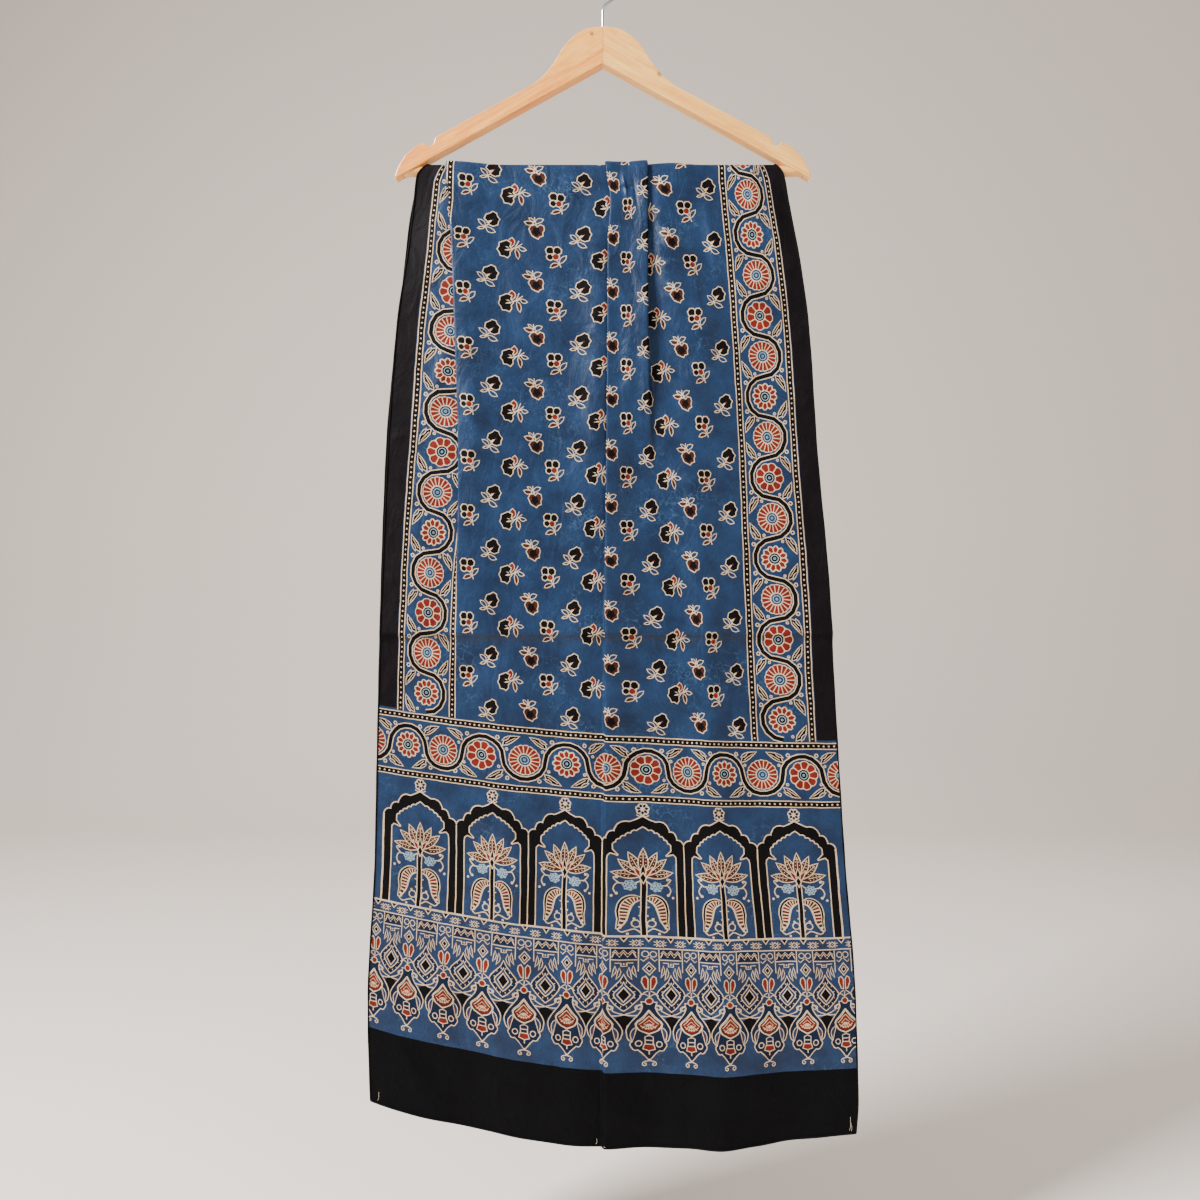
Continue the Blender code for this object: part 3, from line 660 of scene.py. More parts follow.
def draw_vine(pen, place, centres, first_side, wedge_side):
    """A snaking vine up the local Y axis, with a rosette in each bend.

    It starts on first_side of its line, and its wedge rosettes are where it runs on wedge_side.
    """
    x, y, turn, flip = place
    centres = np.asarray(centres, dtype=float)
    middles = (centres[1:] + centres[:-1]) / 2
    ends = np.concatenate([[2 * centres[0] - middles[0]], middles, [2 * centres[-1] - middles[-1]]])
    sides = [first_side if i % 2 == 0 else -first_side for i in range(len(centres))]
    path = []
    for side, low, high in zip(sides, ends, ends[1:]):
        for angle in np.linspace(-math.pi / 2, math.pi / 2, pen.fine(9, 6) + 1)[:-1]:
            along = (low + high) / 2 + (high - low) / 2 * math.sin(angle)
            path.append((side * VINE_SWING * math.cos(angle), along))
    path.append((0.0, ends[-1]))
    pen.at(x, y, turn, flip)
    pen.edged(path, 4.0, "black", 1.0)
    cos, sin = math.cos(turn), math.sin(turn)
    few = 0
    for i, (side, centre) in enumerate(zip(sides, centres)):
        tall = (ends[i + 1] - ends[i]) / SMALL_PITCH
        pen.at(x - sin * centre, y + cos * centre, turn, flip, 1.0, tall)
        free = -side
        for way in (-1, 1):
            long_leaf = leaf((free * 12.8, way * 20.6), (free * 22.6, way * 5.4), 5.6, free * way * 1.2)
            pen.outlined(long_leaf, "black", 0.9)
            pen.stroke([(free * 14.6, way * 17.8), (free * 18.4, way * 12.6), (free * 21.0, way * 8.4)], 0.7)
            bud = leaf((free * 17.6, way * 20.6), (free * 22.4, way * 13.6), 2.0, -free * way * 0.5, 3)
            pen.outlined(bud, "indigo", 0.8)
            pen.area(disc(free * 20.0, way * 25.6, 2.3, 6), "cream")
            pen.area(disc(free * 20.0, way * 25.6, 1.2, 5), "indigo")
            pen.area(disc(free * 9.4, way * 17.0, 1.7, 6), "cream")
            pen.area(disc(free * 9.4, way * 17.0, 0.8, 4), "indigo")
        petals = 18 if side == wedge_side else (12, 9)[few % 2]
        few += side != wedge_side
        draw_rosette(pen, petals, 0.37 * i)


def draw_dotted_line(pen, x, y, length, turn=0.0):
    """A black line of cream dots between two cream lines, up the local Y axis."""
    pen.at(x, y, turn)
    pen.bar(-3.5, 0.0, 3.5, length, "cream")
    pen.bar(-2.5, 0.0, 2.5, length, "black")
    sides = pen.fine(5, 4)
    for k in range(int(length / 5.1)):
        pen.area(disc(0.0, 5.1 * (k + 0.5), 1.05, sides), "cream")


def draw_buti(pen, kind):
    """One of the four small sprigs of the field."""
    fine = pen.fine(4, 3)

    def loop(base, tip, width, ink="indigo", bend=0.0):
        pen.outlined(leaf(base, tip, width, bend, fine, 1.0, 0.62), ink, 0.78)

    if kind == "F":
        pen.stroke([(2.0, -5.0), (5.2, -9.0), (6.4, -12.8)], 1.0)
        loop((5.6, -8.6), (11.2, -1.6), 3.4, bend=0.3)
        loop((4.2, -9.6), (-3.4, -12.8), 3.2, "brown", -0.5)
        petals = ((-3.1, 3.3, 3.9, "black"), (3.5, 3.6, 3.7, "black"), (-3.4, -2.9, 2.9, "black"),
                  (2.0, -2.4, 3.0, "madder"))
        for x, y, radius, _ in petals:
            pen.area(disc(x, y, radius + 1.0, pen.fine(7, 5)), "cream")
        for x, y, radius, ink in petals:
            pen.area(disc(x, y, radius - 0.1, pen.fine(7, 5)), ink)
        pen.stroke([(-4.6, 0.3), (0.0, 0.2), (0.2, 6.0)], 0.8)
    elif kind == "A":
        pen.stroke([(-2.5, -5.5), (-5.0, -8.0), (-7.2, -9.6)], 1.0)
        loop((-5.4, -7.4), (-11.6, -2.4), 3.2, bend=-0.4)
        loop((-6.2, -9.4), (-11.6, -10.4), 1.6, "black")
        loop((-4.2, -9.0), (3.6, -12.8), 3.8, "indigo", -0.5)
        pen.outlined([(-6.4, -0.4), (-5.2, 3.6), (-1.6, 5.4), (1.0, 7.4), (4.4, 6.2), (5.2, 3.2), (7.4, 0.6),
                      (6.0, -2.2), (5.6, -5.2), (1.8, -6.8), (-1.4, -5.8), (-3.4, -2.6)], "black", 0.9)
        pen.area(leaf((-4.4, -4.8), (0.6, -1.0), 2.2, 0.0, 3), "cream")
        pen.area(disc(1.2, -0.6, 0.8, 5), "madder")
    elif kind == "B":
        pen.stroke([(3.2, -0.6), (8.6, 2.0), (13.0, 3.6)], 1.3)
        pen.stroke([(8.6, 2.0), (12.0, 9.6)], 0.9)
        pen.stroke([(9.6, 2.4), (15.0, 7.0)], 0.8)
        loop((12.6, 3.2), (18.6, 1.6), 3.0, bend=-0.5)
        loop((9.6, 0.8), (11.8, -8.4), 3.2, "brown", 0.4)
        loop((5.2, 3.2), (5.4, 11.6), 5.4, "madder")
        pen.outlined([(5.6, -0.2), (3.4, 3.0), (4.6, 6.6), (0.6, 8.2), (-2.8, 6.4), (-5.8, 5.0), (-6.0, 1.6),
                      (-7.4, -1.6), (-5.4, -4.4), (-4.4, -7.4), (-0.8, -7.6), (1.8, -8.8), (3.8, -6.0),
                      (3.6, -2.8)], "black", 0.9)
        pen.area(leaf((5.4, 0.2), (-1.4, -1.4), 1.9, 0.0, 3), "cream")
        pen.area(leaf((3.0, 1.6), (-0.8, 2.4), 1.0, 0.0, 3), "cream")
    else:
        pen.stroke([(-0.6, 5.2), (-2.6, 8.6), (-3.2, 13.0)], 0.9)
        loop((-3.6, 6.6), (-11.8, 7.4), 3.6, "brown", 0.6)
        loop((-1.8, 7.0), (4.6, 11.4), 3.8, bend=0.6)
        loop((-3.6, 8.6), (-8.0, 11.6), 2.0)
        pen.outlined(disc(-2.6, 6.6, 1.0, 5), "indigo", 0.8)
        pen.outlined([(0.4, 3.0), (2.8, 5.6), (5.8, 4.6), (6.6, 1.4), (5.6, -1.2), (6.0, -4.2), (3.2, -5.4),
                      (1.8, -7.6), (-1.6, -6.4), (-4.0, -5.2), (-5.4, -2.2), (-7.0, 0.6), (-5.4, 3.6),
                      (-2.2, 4.8)], "brown", 0.9)
        pen.area(scalloped(-0.2, -1.2, 4.7, 5, 0.3, 2, 0.4), "black")


def draw_field(pen):
    """Sprigs in staggered rows over the whole field."""
    for row in range(FIELD_ROWS):
        for column in range(FIELD_COLUMNS):
            kind, x, y = FIELD_OFFSETS[column % 4]
            up = FIELD_FIRST_ROW + FIELD_ROW_PITCH * row + y
            pen.detail = 1.0 if up * UNIT < FRONT_DROP else 0.7
            across = FIELD_TILE * (column // 4) + x
            run = FRONT_DROP - up * UNIT
            near_pleat = max(0.0, 1.0 - across / FIELD_TILE)
            lift = 8.5 * float(smooth_step(run / 50.0) * (1 - smooth_step((run - 120.0) / 240.0)))
            pen.at(FIELD_START + across + 2.6 * near_pleat, up + lift * near_pleat,
                   0.05 * math.sin(3.1 * row + 5.3 * column))
            draw_buti(pen, kind)


def arch_frame():
    """Outer edge of one arch with its posts, from the apex."""
    head = arcs([(0, 0), (10.8, -5.6), (22.6, -11.6), (23.0, -14.8), (30.2, -19.0), (30.8, -22.4),
                 (POST_HALF, -28.2)], (-0.03, 0.22, 0.12, 0.24, 0.12, 0.22), 4)
    foot = [(POST_HALF, y) for y in np.linspace(-38.0, ARCH_BASE - ARCH_APEX, 8)]
    return mirrored(np.vstack([head, foot]))


def arch_opening():
    """The cusped opening of one arch, from its inner apex."""
    cusps = arcs([(0, -10.6), (4.8, -14.4), (9.6, -17.0), (14.2, -19.8), (18.2, -22.8), (21.6, -26.2),
                  (24.4, -30.2)], (0.06, 0.3, 0.3, 0.3, 0.3, 0.3), 3)
    beak = [(24.6, -33.0), (22.2, -35.4), (19.8, -38.2), (20.8, -39.6), (24.0, -38.4), (27.4, -37.6),
            (29.4, -39.6)]
    foot = [(29.8, y) for y in np.linspace(-43.0, ARCH_BASE - ARCH_APEX, 8)]
    return mirrored(np.vstack([cusps, beak, foot]))


def draw_arches(pen):
    """A row of cusped arches with a lotus in each."""
    centres = [ARCH_MARGIN + ARCH_PITCH * (k + 0.5) for k in range(6)]
    outer, opening = arch_frame(), arch_opening()
    for x in centres:
        pen.at(x, ARCH_APEX)
        pen.area(grown(outer, 1.15), "cream")
    for x in centres:
        pen.at(x, ARCH_APEX)
        pen.area(outer, "black")
        pen.area(grown(opening, 1.1), "cream")
        pen.area(opening, "indigo")
    for k in range(7):
        pen.at(ARCH_MARGIN + ARCH_PITCH * k, 0.0)
        pen.bar(-0.6, ARCH_BASE, 0.6, ARCH_APEX - 28.0, "cream")
    for k, x in enumerate(centres):
        pen.at(x, ARCH_APEX)
        draw_finial(pen)
        for side in (-1, 1):
            pen.at(x, ARCH_APEX, 0.0, side)
            draw_arch_leaf(pen)
            draw_base_scroll(pen)
            draw_lotus_side(pen, side)
        pen.at(x, ARCH_APEX)
        stem = [(0.35 * math.sin(y / 9.0 + k), y) for y in np.linspace(-64.0, ARCH_BASE - ARCH_APEX, 10)]
        pen.edged(stem, 3.6, "black", 0.95)
        draw_lotus(pen)


def draw_finial(pen):
    """The small leafy ball on an arch's apex."""
    middle = np.array((0.0, 7.2))
    pen.area(scalloped(*middle, 6.4, 7, 0.14, 3, math.pi / 2), "cream")
    for k in range(7):
        angle = math.radians(90.0 + (k + 0.5) * 360.0 / 7)
        way = np.array((math.cos(angle), math.sin(angle)))
        pen.area(leaf(middle + way * 1.6, middle + way * 5.6, 2.9, 0.0, 3), "navy")
    for side in (-1, 1):
        pen.stroke([(0.0, 1.4), (2.8 * side, 0.2), (5.4 * side, 1.6)], 0.9)


def draw_lotus(pen):
    """Seven patterned petals over a small calyx."""
    tips = ((-26.0, 4.5), (26.0, 5.0), (-20.0, 17.0), (20.0, 17.4), (-11.5, 24.0), (11.5, 24.2), (0.0, 27.6))
    for x, y in tips:
        base, tip = np.array((0.10 * x, -60.0 + 0.08 * y)), np.array((x, -60.0 + y))
        pen.outlined(leaf(base, tip, 7.2, 0.0, pen.fine(6, 4), 0.92), "brown", 1.0)
        way = tip - base
        long = np.hypot(*way)
        side = np.array((-way[1], way[0])) / long
        pen.stroke([base + way * 0.32, base + way * 0.62, base + way * 0.86], 0.7)
        for s in (0.38, 0.52, 0.66, 0.78):
            for lean in (-1, 1):
                spot = base + way * s + side * lean * 2.0 * math.sin(math.pi * s**0.92)
                pen.area(disc(spot[0], spot[1], 0.62, 4), "cream")
    for x, y, ink in ((-7.0, 9.0, "madder"), (7.0, 9.0, "madder"), (0.0, 11.5, "black")):
        pen.outlined(leaf((0.0, -61.0), (x, -60.0 + y), 3.4, 0.0, 3), ink, 1.0)
    pen.outlined([(0.0, -57.0), (2.2, -61.0), (0.0, -66.0), (-2.2, -61.0)], "black", 1.1)


def draw_lotus_side(pen, side):
    """A bunch of small pale fruits and its curls, to the right of the stem."""
    drop = -68.4 if side > 0 else -67.0
    pen.stroke(curve([(2.0, -64.0), (6.0, drop + 1.0), (15.5, drop), (21.5, drop + 0.5), (24.5, drop - 5.0),
                      (22.5, drop - 9.5)], 2), 1.1)
    pen.stroke(curve([(19.0, drop), (23.0, drop + 3.4), (24.6, drop + 6.4), (21.8, drop + 7.4)], 2), 1.1)
    pen.area(disc(21.6, drop + 6.6, 1.5, 6), "cream")
    pen.area(disc(21.6, drop - 9.6, 1.5, 6), "cream")
    pen.area(disc(26.2, drop - 12.0, 1.4, 5), "cream")
    x, y = 10.8, drop - 1.6
    pen.area(scalloped(x, y, 6.4, 7, 0.2, 2, 0.4 * side, 0.86), "pale")
    for ring, count in ((1.6, 3), (4.0, 8)):
        for k in range(count):
            angle = 2 * math.pi * k / count + ring
            fruit = disc(x + ring * math.cos(angle), y + 0.86 * ring * math.sin(angle), 0.85, 4, angle)
            pen.area(fruit, "indigo")
    pen.stroke([(1.8, -91.0), (4.6, -90.6)], 1.0)
    pen.area(disc(3.2, -99.0, 1.0, 5), "cream")


def draw_arch_leaf(pen):
    """A long hanging leaf with bars across it, to the right of the stem."""
    spine = curve([(2.8, -82.0), (9.0, -82.4), (14.4, -87.0), (16.6, -95.0), (17.2, -103.0),
                   (20.6, -111.6)], 3)
    share = np.linspace(0.0, 1.0, len(spine))
    half = 5.2 * np.sin(math.pi * np.clip(share, 0.02, 0.98) ** 0.9) ** 0.7
    way = np.gradient(spine, axis=0)
    way /= np.linalg.norm(way, axis=1, keepdims=True)
    side = np.stack([-way[:, 1], way[:, 0]], axis=1)

    def edge(amount):
        return spine + side * (half * amount)[:, None]

    pen.outlined(np.vstack([edge(1.0), edge(-1.0)[::-1]]), "black", 0.95)
    pen.area(np.vstack([edge(0.62)[1:-1], edge(-1.0)[1:-1][::-1]]), "cream")
    low, high = edge(-0.86), edge(0.46)
    for k in range(10):
        start = 1.4 + k * 1.24
        corners = []
        for line, at in ((low, start), (low, start + 0.78), (high, start + 0.78), (high, start)):
            i = min(int(at), len(line) - 2)
            corners.append(line[i] + (line[i + 1] - line[i]) * (at - i))
        pen.area(corners, "madder" if k % 3 == 1 else "brown")


def draw_base_scroll(pen):
    """A loop and a tendril at the foot of the stem, to its right."""
    pen.stroke(disc(6.4, -106.8, 3.6, 8), 1.1, closed=True)
    pen.stroke(curve([(1.8, -116.4), (7.0, -112.2), (12.0, -113.4), (17.0, -115.4), (20.4, -112.4),
                      (18.4, -110.4)], 2), 1.15)
    pen.stroke([(1.8, -113.0), (3.4, -109.0)], 1.1)
    for x, y in ((18.4, -110.8), (12.6, -117.0), (7.6, -102.2)):
        pen.area(disc(x, y, 1.35, 5), "cream")


def draw_medallion(pen):
    """A hanging ogee medallion with a netted fan, a vase and two long drops."""
    neck = curve([(6.4, 35.0), (5.4, 29.6), (8.8, 23.0), (15.4, 15.4), (19.6, 7.2), (18.2, -0.6)], 3)
    corners = [(18.2, -0.6), (14.2, -4.0), (14.4, -9.6), (9.6, -12.0), (0.0, -22.4)]
    lobes = arcs(corners, (0.1, 0.3, 0.3, -0.05), 3)[1:]
    pen.outlined(mirrored(np.vstack([neck, lobes])), "navy", 0.95)
    for side in (-1, 1):
        pen.stroke(spiral(side * 3.9, -26.4, 2.7, math.pi / 2, -side * 1.1, 8), 1.0)
        pen.stroke([(-side * 0.6, -21.4), (side * 1.6, -23.2), (side * 3.9, -23.7)], 1.0)
        pen.stroke(curve([(0.0, 27.6), (side * 5.4, 20.8), (side * 12.0, 14.0), (side * 8.4, 7.2),
                          (0.0, 3.0)], 3), 1.0)
        pen.outlined(leaf((side * 11.4, 10.4), (side * 14.6, -3.6), 3.2, side * 1.6, 5), "indigo", 0.8)
        pen.area(leaf((side * 12.2, 6.4), (side * 13.8, -0.6), 1.2, side * 0.6, 3), "madder")
        pen.stroke(disc(side * 9.2, -6.2, 2.8, 8), 0.95, closed=True)
    fan = mirrored(curve([(0.0, 25.4), (4.8, 19.0), (10.6, 13.8), (7.4, 7.4), (0.0, 4.0)], 3))
    pen.outlined(fan, "brown", 0.8)
    pen.area(fan * (0.8, 0.8) + (0.0, 2.6), "madder")
    for k in range(-2, 3):
        pen.stroke([(0.4 * k, 13.6), (3.0 * k, 8.0 if abs(k) < 2 else 9.4)], 0.7)
    pen.stroke(curve([(-8.6, 13.4), (-4.4, 17.0), (0.0, 21.6), (4.4, 17.0), (8.6, 13.4)], 2), 0.75)
    pen.stroke(curve([(-7.4, 12.2), (-4.0, 9.6), (0.0, 8.6), (4.0, 9.6), (7.4, 12.2)], 2), 0.7)
    pen.stroke([(-4.4, 13.6), (0.0, 17.4), (4.4, 13.6), (0.0, 11.4)], 0.65, closed=True)
    pen.stroke([(-3.6, -6.4), (-3.8, 0.4), (0.0, 1.8), (3.8, 0.4), (3.6, -6.4)], 0.95)
    pen.stroke([(-3.6, -3.0), (3.6, -3.0)], 0.85)
    pen.outlined([(-3.8, -7.2), (3.8, -7.2), (5.0, -11.0), (0.0, -12.6), (-5.0, -11.0)], "madder", 0.85)
    pen.stroke([(0.0, -12.6), (0.0, -16.6)], 1.0)


def draw_cartouche(pen):
    """An upright pointed cartouche with a black diamond, over a crossing of curled lines."""
    pen.area(mirrored([(0.0, -17.0), (2.6, -21.6), (6.4, -24.0), (12.6, -25.4), (6.0, -27.6), (2.4, -31.0),
                       (0.0, -38.0)]), "black")
    outline = mirrored(curve([(0.0, 19.4), (2.6, 13.6), (8.4, 7.4), (13.2, 0.4), (9.6, -6.4), (4.4, -12.4),
                              (0.0, -16.0)], 2))
    pen.outlined(outline, "navy", 0.95)
    pen.area(outline * 0.69, "cream")
    pen.area(outline * 0.61, "indigo")
    for k in range(12):
        angle = 2 * math.pi * (k + 0.5) / 12
        way = np.array((math.cos(angle) * 0.72, math.sin(angle)))
        pen.stroke([way * 11.4, way * 13.2], 0.7)
    pen.area([(0.0, 8.0), (6.0, 0.0), (0.0, -8.0), (-6.0, 0.0)], "cream")
    pen.area([(0.0, 6.4), (4.8, 0.0), (0.0, -6.4), (-4.8, 0.0)], "black")
    for side in (-1, 1):
        pen.stroke(curve([(side * 14.4, -10.0), (side * 9.0, -12.2), (side * 9.4, -16.0), (side * 3.6, -19.0),
                          (-side * 5.0, -21.2), (-side * 12.4, -20.2), (-side * 15.6, -15.0)], 3), 1.0)
        pen.stroke(spiral(side * 12.2, -13.6, 3.2, 0.0 if side > 0 else math.pi, side * 1.1, 8), 1.0)


def draw_pendant(pen):
    """The red dot, the pair of red drops and the knot above a medallion."""
    pen.stroke(curve([(-8.0, 151.8), (-4.0, 153.6), (0.0, 150.8), (4.0, 153.6), (8.0, 151.8)], 2), 0.8)
    pen.outlined(disc(0.0, 146.4, 2.8, 8), "madder", 0.9)
    pen.stroke([(0.0, 149.4), (0.0, 156.0)], 0.9)
    for side in (-1, 1):
        pen.outlined([(side * 1.5, 158.8), (side * 3.2, 159.4), (side * 5.6, 165.6), (side * 5.0, 169.6),
                      (side * 3.1, 170.8), (side * 1.5, 168.0)], "madder", 0.9)
        pen.stroke([(side * 0.8, 156.8), (side * 4.2, 155.0), (side * 6.6, 152.6)], 0.8)
        pen.stroke(disc(side * 3.3, 193.8, 2.9, 8), 0.8, closed=True)
        pen.stroke([(side * 0.6, 190.6), (side * 4.6, 186.6), (side * 6.6, 188.6)], 0.8)
        pen.stroke([(side * 8.6, 176.0), (side * 8.6, 198.8)], 0.85)
        pen.outlined(leaf((side * 12.4, 181.4), (side * 10.0, 171.0), 1.9, side * 1.0, 3), "indigo", 0.75)
        pen.outlined(leaf((side * 16.0, 179.6), (side * 13.6, 168.6), 2.2, side * 1.2, 3), "indigo", 0.75)
    pen.outlined([(0.0, 184.8), (4.6, 179.0), (0.0, 173.2), (-4.6, 179.0)], "indigo", 0.9)
    pen.outlined([(0.0, 181.6), (2.0, 179.0), (0.0, 176.4), (-2.0, 179.0)], "black", 0.7)


def draw_strapwork(pen):
    """A wavy strap between two knots, with small key marks and leaves below."""
    pen.bar(9.4, 189.0, 30.6, 198.8, "navy")
    pen.stroke(curve([(9.8, 190.0), (12.8, 195.6), (16.6, 190.8), (20.0, 195.4), (23.4, 190.8), (27.2, 195.6),
                      (30.2, 190.0)], 2), 0.9)
    pen.stroke([(10.4, 194.6), (13.0, 197.4), (16.4, 193.6), (20.0, 197.4), (23.6, 193.6), (27.0, 197.4),
                (29.6, 194.6)], 0.75)
    for x in (16.6, 23.4):
        pen.area([(x - 1.8, 191.6), (x + 1.8, 191.6), (x, 194.0)], "brown")
    pen.bar(8.8, 187.4, 31.2, 188.3, "cream")
    pen.stroke([(12.0, 184.8), (17.4, 184.8), (17.4, 181.6), (20.0, 181.6), (22.6, 181.6), (22.6, 184.8),
                (28.0, 184.8)], 0.8)
    for k in (-1, 0, 1):
        pen.area([(19.4 + 2.4 * k, 182.8), (20.6 + 2.4 * k, 182.8), (20.6 + 2.4 * k, 184.6),
                  (19.4 + 2.4 * k, 184.6)], "cream")


def draw_cross(pen):
    """A small diamond with four pairs of leaves, in the band under the arches."""
    for side in (-1, 1):
        for up in (-1, 1):
            pen.stroke([(side * 1.8, up * 1.4), (side * 3.2, up * 3.2)], 0.8)
            pen.stroke([(side * 3.0, up * 1.0), (side * 5.4, up * 1.6)], 0.7)
    pen.area([(0.0, 3.4), (3.4, 0.0), (0.0, -3.4), (-3.4, 0.0)], "cream")
    pen.area([(0.0, 2.3), (2.3, 0.0), (0.0, -2.3), (-2.3, 0.0)], "indigo")
    pen.area(disc(0.0, 0.0, 0.6, 4), "cream")


def draw_end(pen):
    """The whole of one decorated end, from its hem to its cross border."""
    pen.at(0.0, 0.0)
    pen.bar(0.0, 0.0, WIDE, END_BAND_TOP, "end")
    pairs = list(zip(MEDALLION_PLACES, MEDALLION_PLACES[1:]))
    for left, right in pairs:
        wide = (right - left) / SMALL_PITCH
        pen.at((left + right) / 2, CARTOUCHE_HEIGHT, wide=wide)
        draw_cartouche(pen)
        pen.at(left, 0.0, wide=wide)
        draw_strapwork(pen)
        for share in (0.25, 0.75):
            pen.at(left + (right - left) * share, 204.6)
            draw_cross(pen)
        for share in (0.0, 0.5):
            pen.at(left + (right - left) * share, 0.0)
            pen.area([(-4.2, 211.2), (4.2, 211.2), (0.0, 205.2)], "cream")
            pen.area([(-2.7, 210.6), (2.7, 210.6), (0.0, 206.8)], "black")
    for k, x in enumerate(MEDALLION_PLACES[1:-1]):
        wide = (MEDALLION_PLACES[k + 2] - MEDALLION_PLACES[k]) / (2 * SMALL_PITCH)
        pen.at(x, MEDALLION_HEIGHT, wide=0.93 * wide)
        draw_medallion(pen)
        pen.at(x, 0.0, wide=wide)
        draw_pendant(pen)
    pen.at(0.0, 0.0)
    pen.bar(0.0, STRAP_TOP - 0.55, WIDE, STRAP_TOP + 0.55, "cream")
    draw_arches(pen)
    pen.at(0.0, 0.0)
    pen.bar(0.0, ARCH_BASE - 0.7, WIDE, ARCH_BASE + 0.7, "cream")
    draw_dotted_line(pen, 0.0, LOWER_LINE, WIDE, -math.pi / 2)
    draw_vine(pen, (0.0, CROSS_VINE, -math.pi / 2, 1.0), CROSS_ROSETTES, 1, 1)
    draw_dotted_line(pen, 0.0, UPPER_LINE, WIDE, -math.pi / 2)


def draw_side(pen, right):
    """One side border: a black edge, dotted lines and a vine."""
    side_end = LONG - SIDE_START
    mirror = (lambda x: WIDE - x) if right else (lambda x: x)
    pen.at(0.0, 0.0)
    pen.bar(min(mirror(0.0), mirror(EDGE_WIDTH)), SIDE_START + 1.6,
            max(mirror(0.0), mirror(EDGE_WIDTH)), side_end - 1.6, "edge")
    length = side_end - SIDE_START
    centres = [SMALL_PITCH * (k + 0.5) for k in range(SIDE_ROSETTES)]
    draw_vine(pen, (mirror(SIDE_VINE), SIDE_START + 1.5, 0.0, -1.0 if right else 1.0), centres, 1, -1)
    for line in (OUTER_LINE, INNER_LINE):
        draw_dotted_line(pen, mirror(line), SIDE_START, length)


def draw_print():
    """Every shape of the print, from the ground up."""
    pen = Print()
    pen.bar(0.0, 0.0, WIDE, LONG, "indigo")
    draw_field(pen)
    pen.detail = 0.8
    draw_side(pen, False)
    draw_side(pen, True)
    for pen.far_end in (False, True):
        pen.detail = 0.7 if pen.far_end else 1.0
        draw_end(pen)
    return pen


def ground_points():
    """Points that let the plain ground follow the folds, wider apart on the back drop."""
    points = []
    drops = ((0.0, FRONT_DROP, FRONT_GROUND_STEP), (FRONT_DROP, CLOTH_LENGTH - 3.0, BACK_GROUND_STEP))
    for low, high, step in drops:
        for v in np.arange(low + 6.0, high, step):
            points.extend((u, v) for u in np.arange(5.0, CLOTH_WIDTH - 2.0, step))
    return points


def fold_lines():
    """Lines up the folds, along narrow creases, and across the cloth at the bar and the packing crease."""
    lines = []
    for low, high, step, front, back in FOLD_BANDS:
        for k, u in enumerate(np.arange(low, high, step)):
            end = HALF_THE_LINES_END if k % 2 else back
            lines.append([(u, FRONT_DROP - run) for run in np.arange(end, front, FOLD_LINE_STEP)])
    across = np.arange(1.0, CLOTH_WIDTH, ROW_STEP)
    for path in ROWS_OVER_BAR:
        run = np.full_like(across, path)
        for _ in range(4):
            run = path - row_skew(across, run)
        lines.append(list(zip(across, FRONT_DROP - run)))
    for u0, run0, u1, run1, _, width in CREASES:
        if width >= NARROW_CREASE:
            continue
        long = math.hypot(u1 - u0, run1 - run0)
        s = np.linspace(0.02, 0.98, int(long / CREASE_LINE_STEP) + 2)
        for off in CREASE_LINES:
            du, dv = off * width * (run1 - run0) / long, off * width * (u1 - u0) / long
            u, run = u0 + (u1 - u0) * s + du, run0 + (run1 - run0) * s - dv
            keep = (u > 1.0) & (u < CLOTH_WIDTH - 1.0)
            lines.append(list(zip(u[keep], FRONT_DROP - run[keep])))
    for offset in PACKING_CREASE_LINES:
        run = PACKING_CREASE_RUN - offset - row_skew(across, PACKING_CREASE_RUN - offset)
        lines.append(list(zip(across, FRONT_DROP - run)))
    return lines


def cut_shapes(pen):
    """Cut the flat cloth along every shape. Returns places, triangles and the number of each one's ink."""
    points = [Vector(point) for point in pen.points]
    places, _, triangles, _, _, covers = delaunay_2d_cdt(points, [], pen.faces, 0, 1e-6, True)
    order = list(INKS)
    kept = [(corners, max(cover)) for corners, cover in zip(triangles, covers) if 0 in cover]
    inks = np.array([order.index(pen.inks[top]) for _, top in kept])
    return [tuple(place) for place in places], np.array([corners for corners, _ in kept]), inks


def ink_edges(triangles, inks):
    """The edges that show: those between two inks, and the sheet's own."""
    edges = np.sort(triangles[:, ((0, 1), (1, 2), (2, 0))].reshape(-1, 2), axis=1)
    order = np.lexsort((edges[:, 1], edges[:, 0]))
    edges, inks = edges[order], np.repeat(inks, 3)[order]
    starts = np.flatnonzero(np.r_[True, np.any(edges[1:] != edges[:-1], axis=1)])
    lowest, highest = np.minimum.reduceat(inks, starts), np.maximum.reduceat(inks, starts)
    alone = np.diff(np.r_[starts, len(edges)]) == 1
    return edges[starts][alone | (lowest != highest)]


def straightened(places, edges):
    """Neighbours of each point on the ink edges, without the points that a straight edge barely misses."""
    near = {}
    for a, b in edges.tolist():
        near.setdefault(a, set()).add(b)
        near.setdefault(b, set()).add(a)
    missed = dict.fromkeys(near, 0.0)
    for point in [point for _ in range(3) for point in near]:
        if len(near.get(point, ())) != 2:
            continue
        a, b = near[point]
        (ax, ay), (bx, by), (x, y) = places[a], places[b], places[point]
        long = math.hypot(bx - ax, by - ay)
        if b in near[a] or not 1e-6 < long < LONGEST_EDGE:
            continue
        miss = missed[point] + abs((bx - ax) * (y - ay) - (by - ay) * (x - ax)) / long
        if miss < (FRONT_SLACK if y < FRONT_DROP else BACK_SLACK):
            for this, other in ((a, b), (b, a)):
                near[this].discard(point)
                near[this].add(other)
                missed[this] = max(missed[this], miss)
            del near[point]
    return near


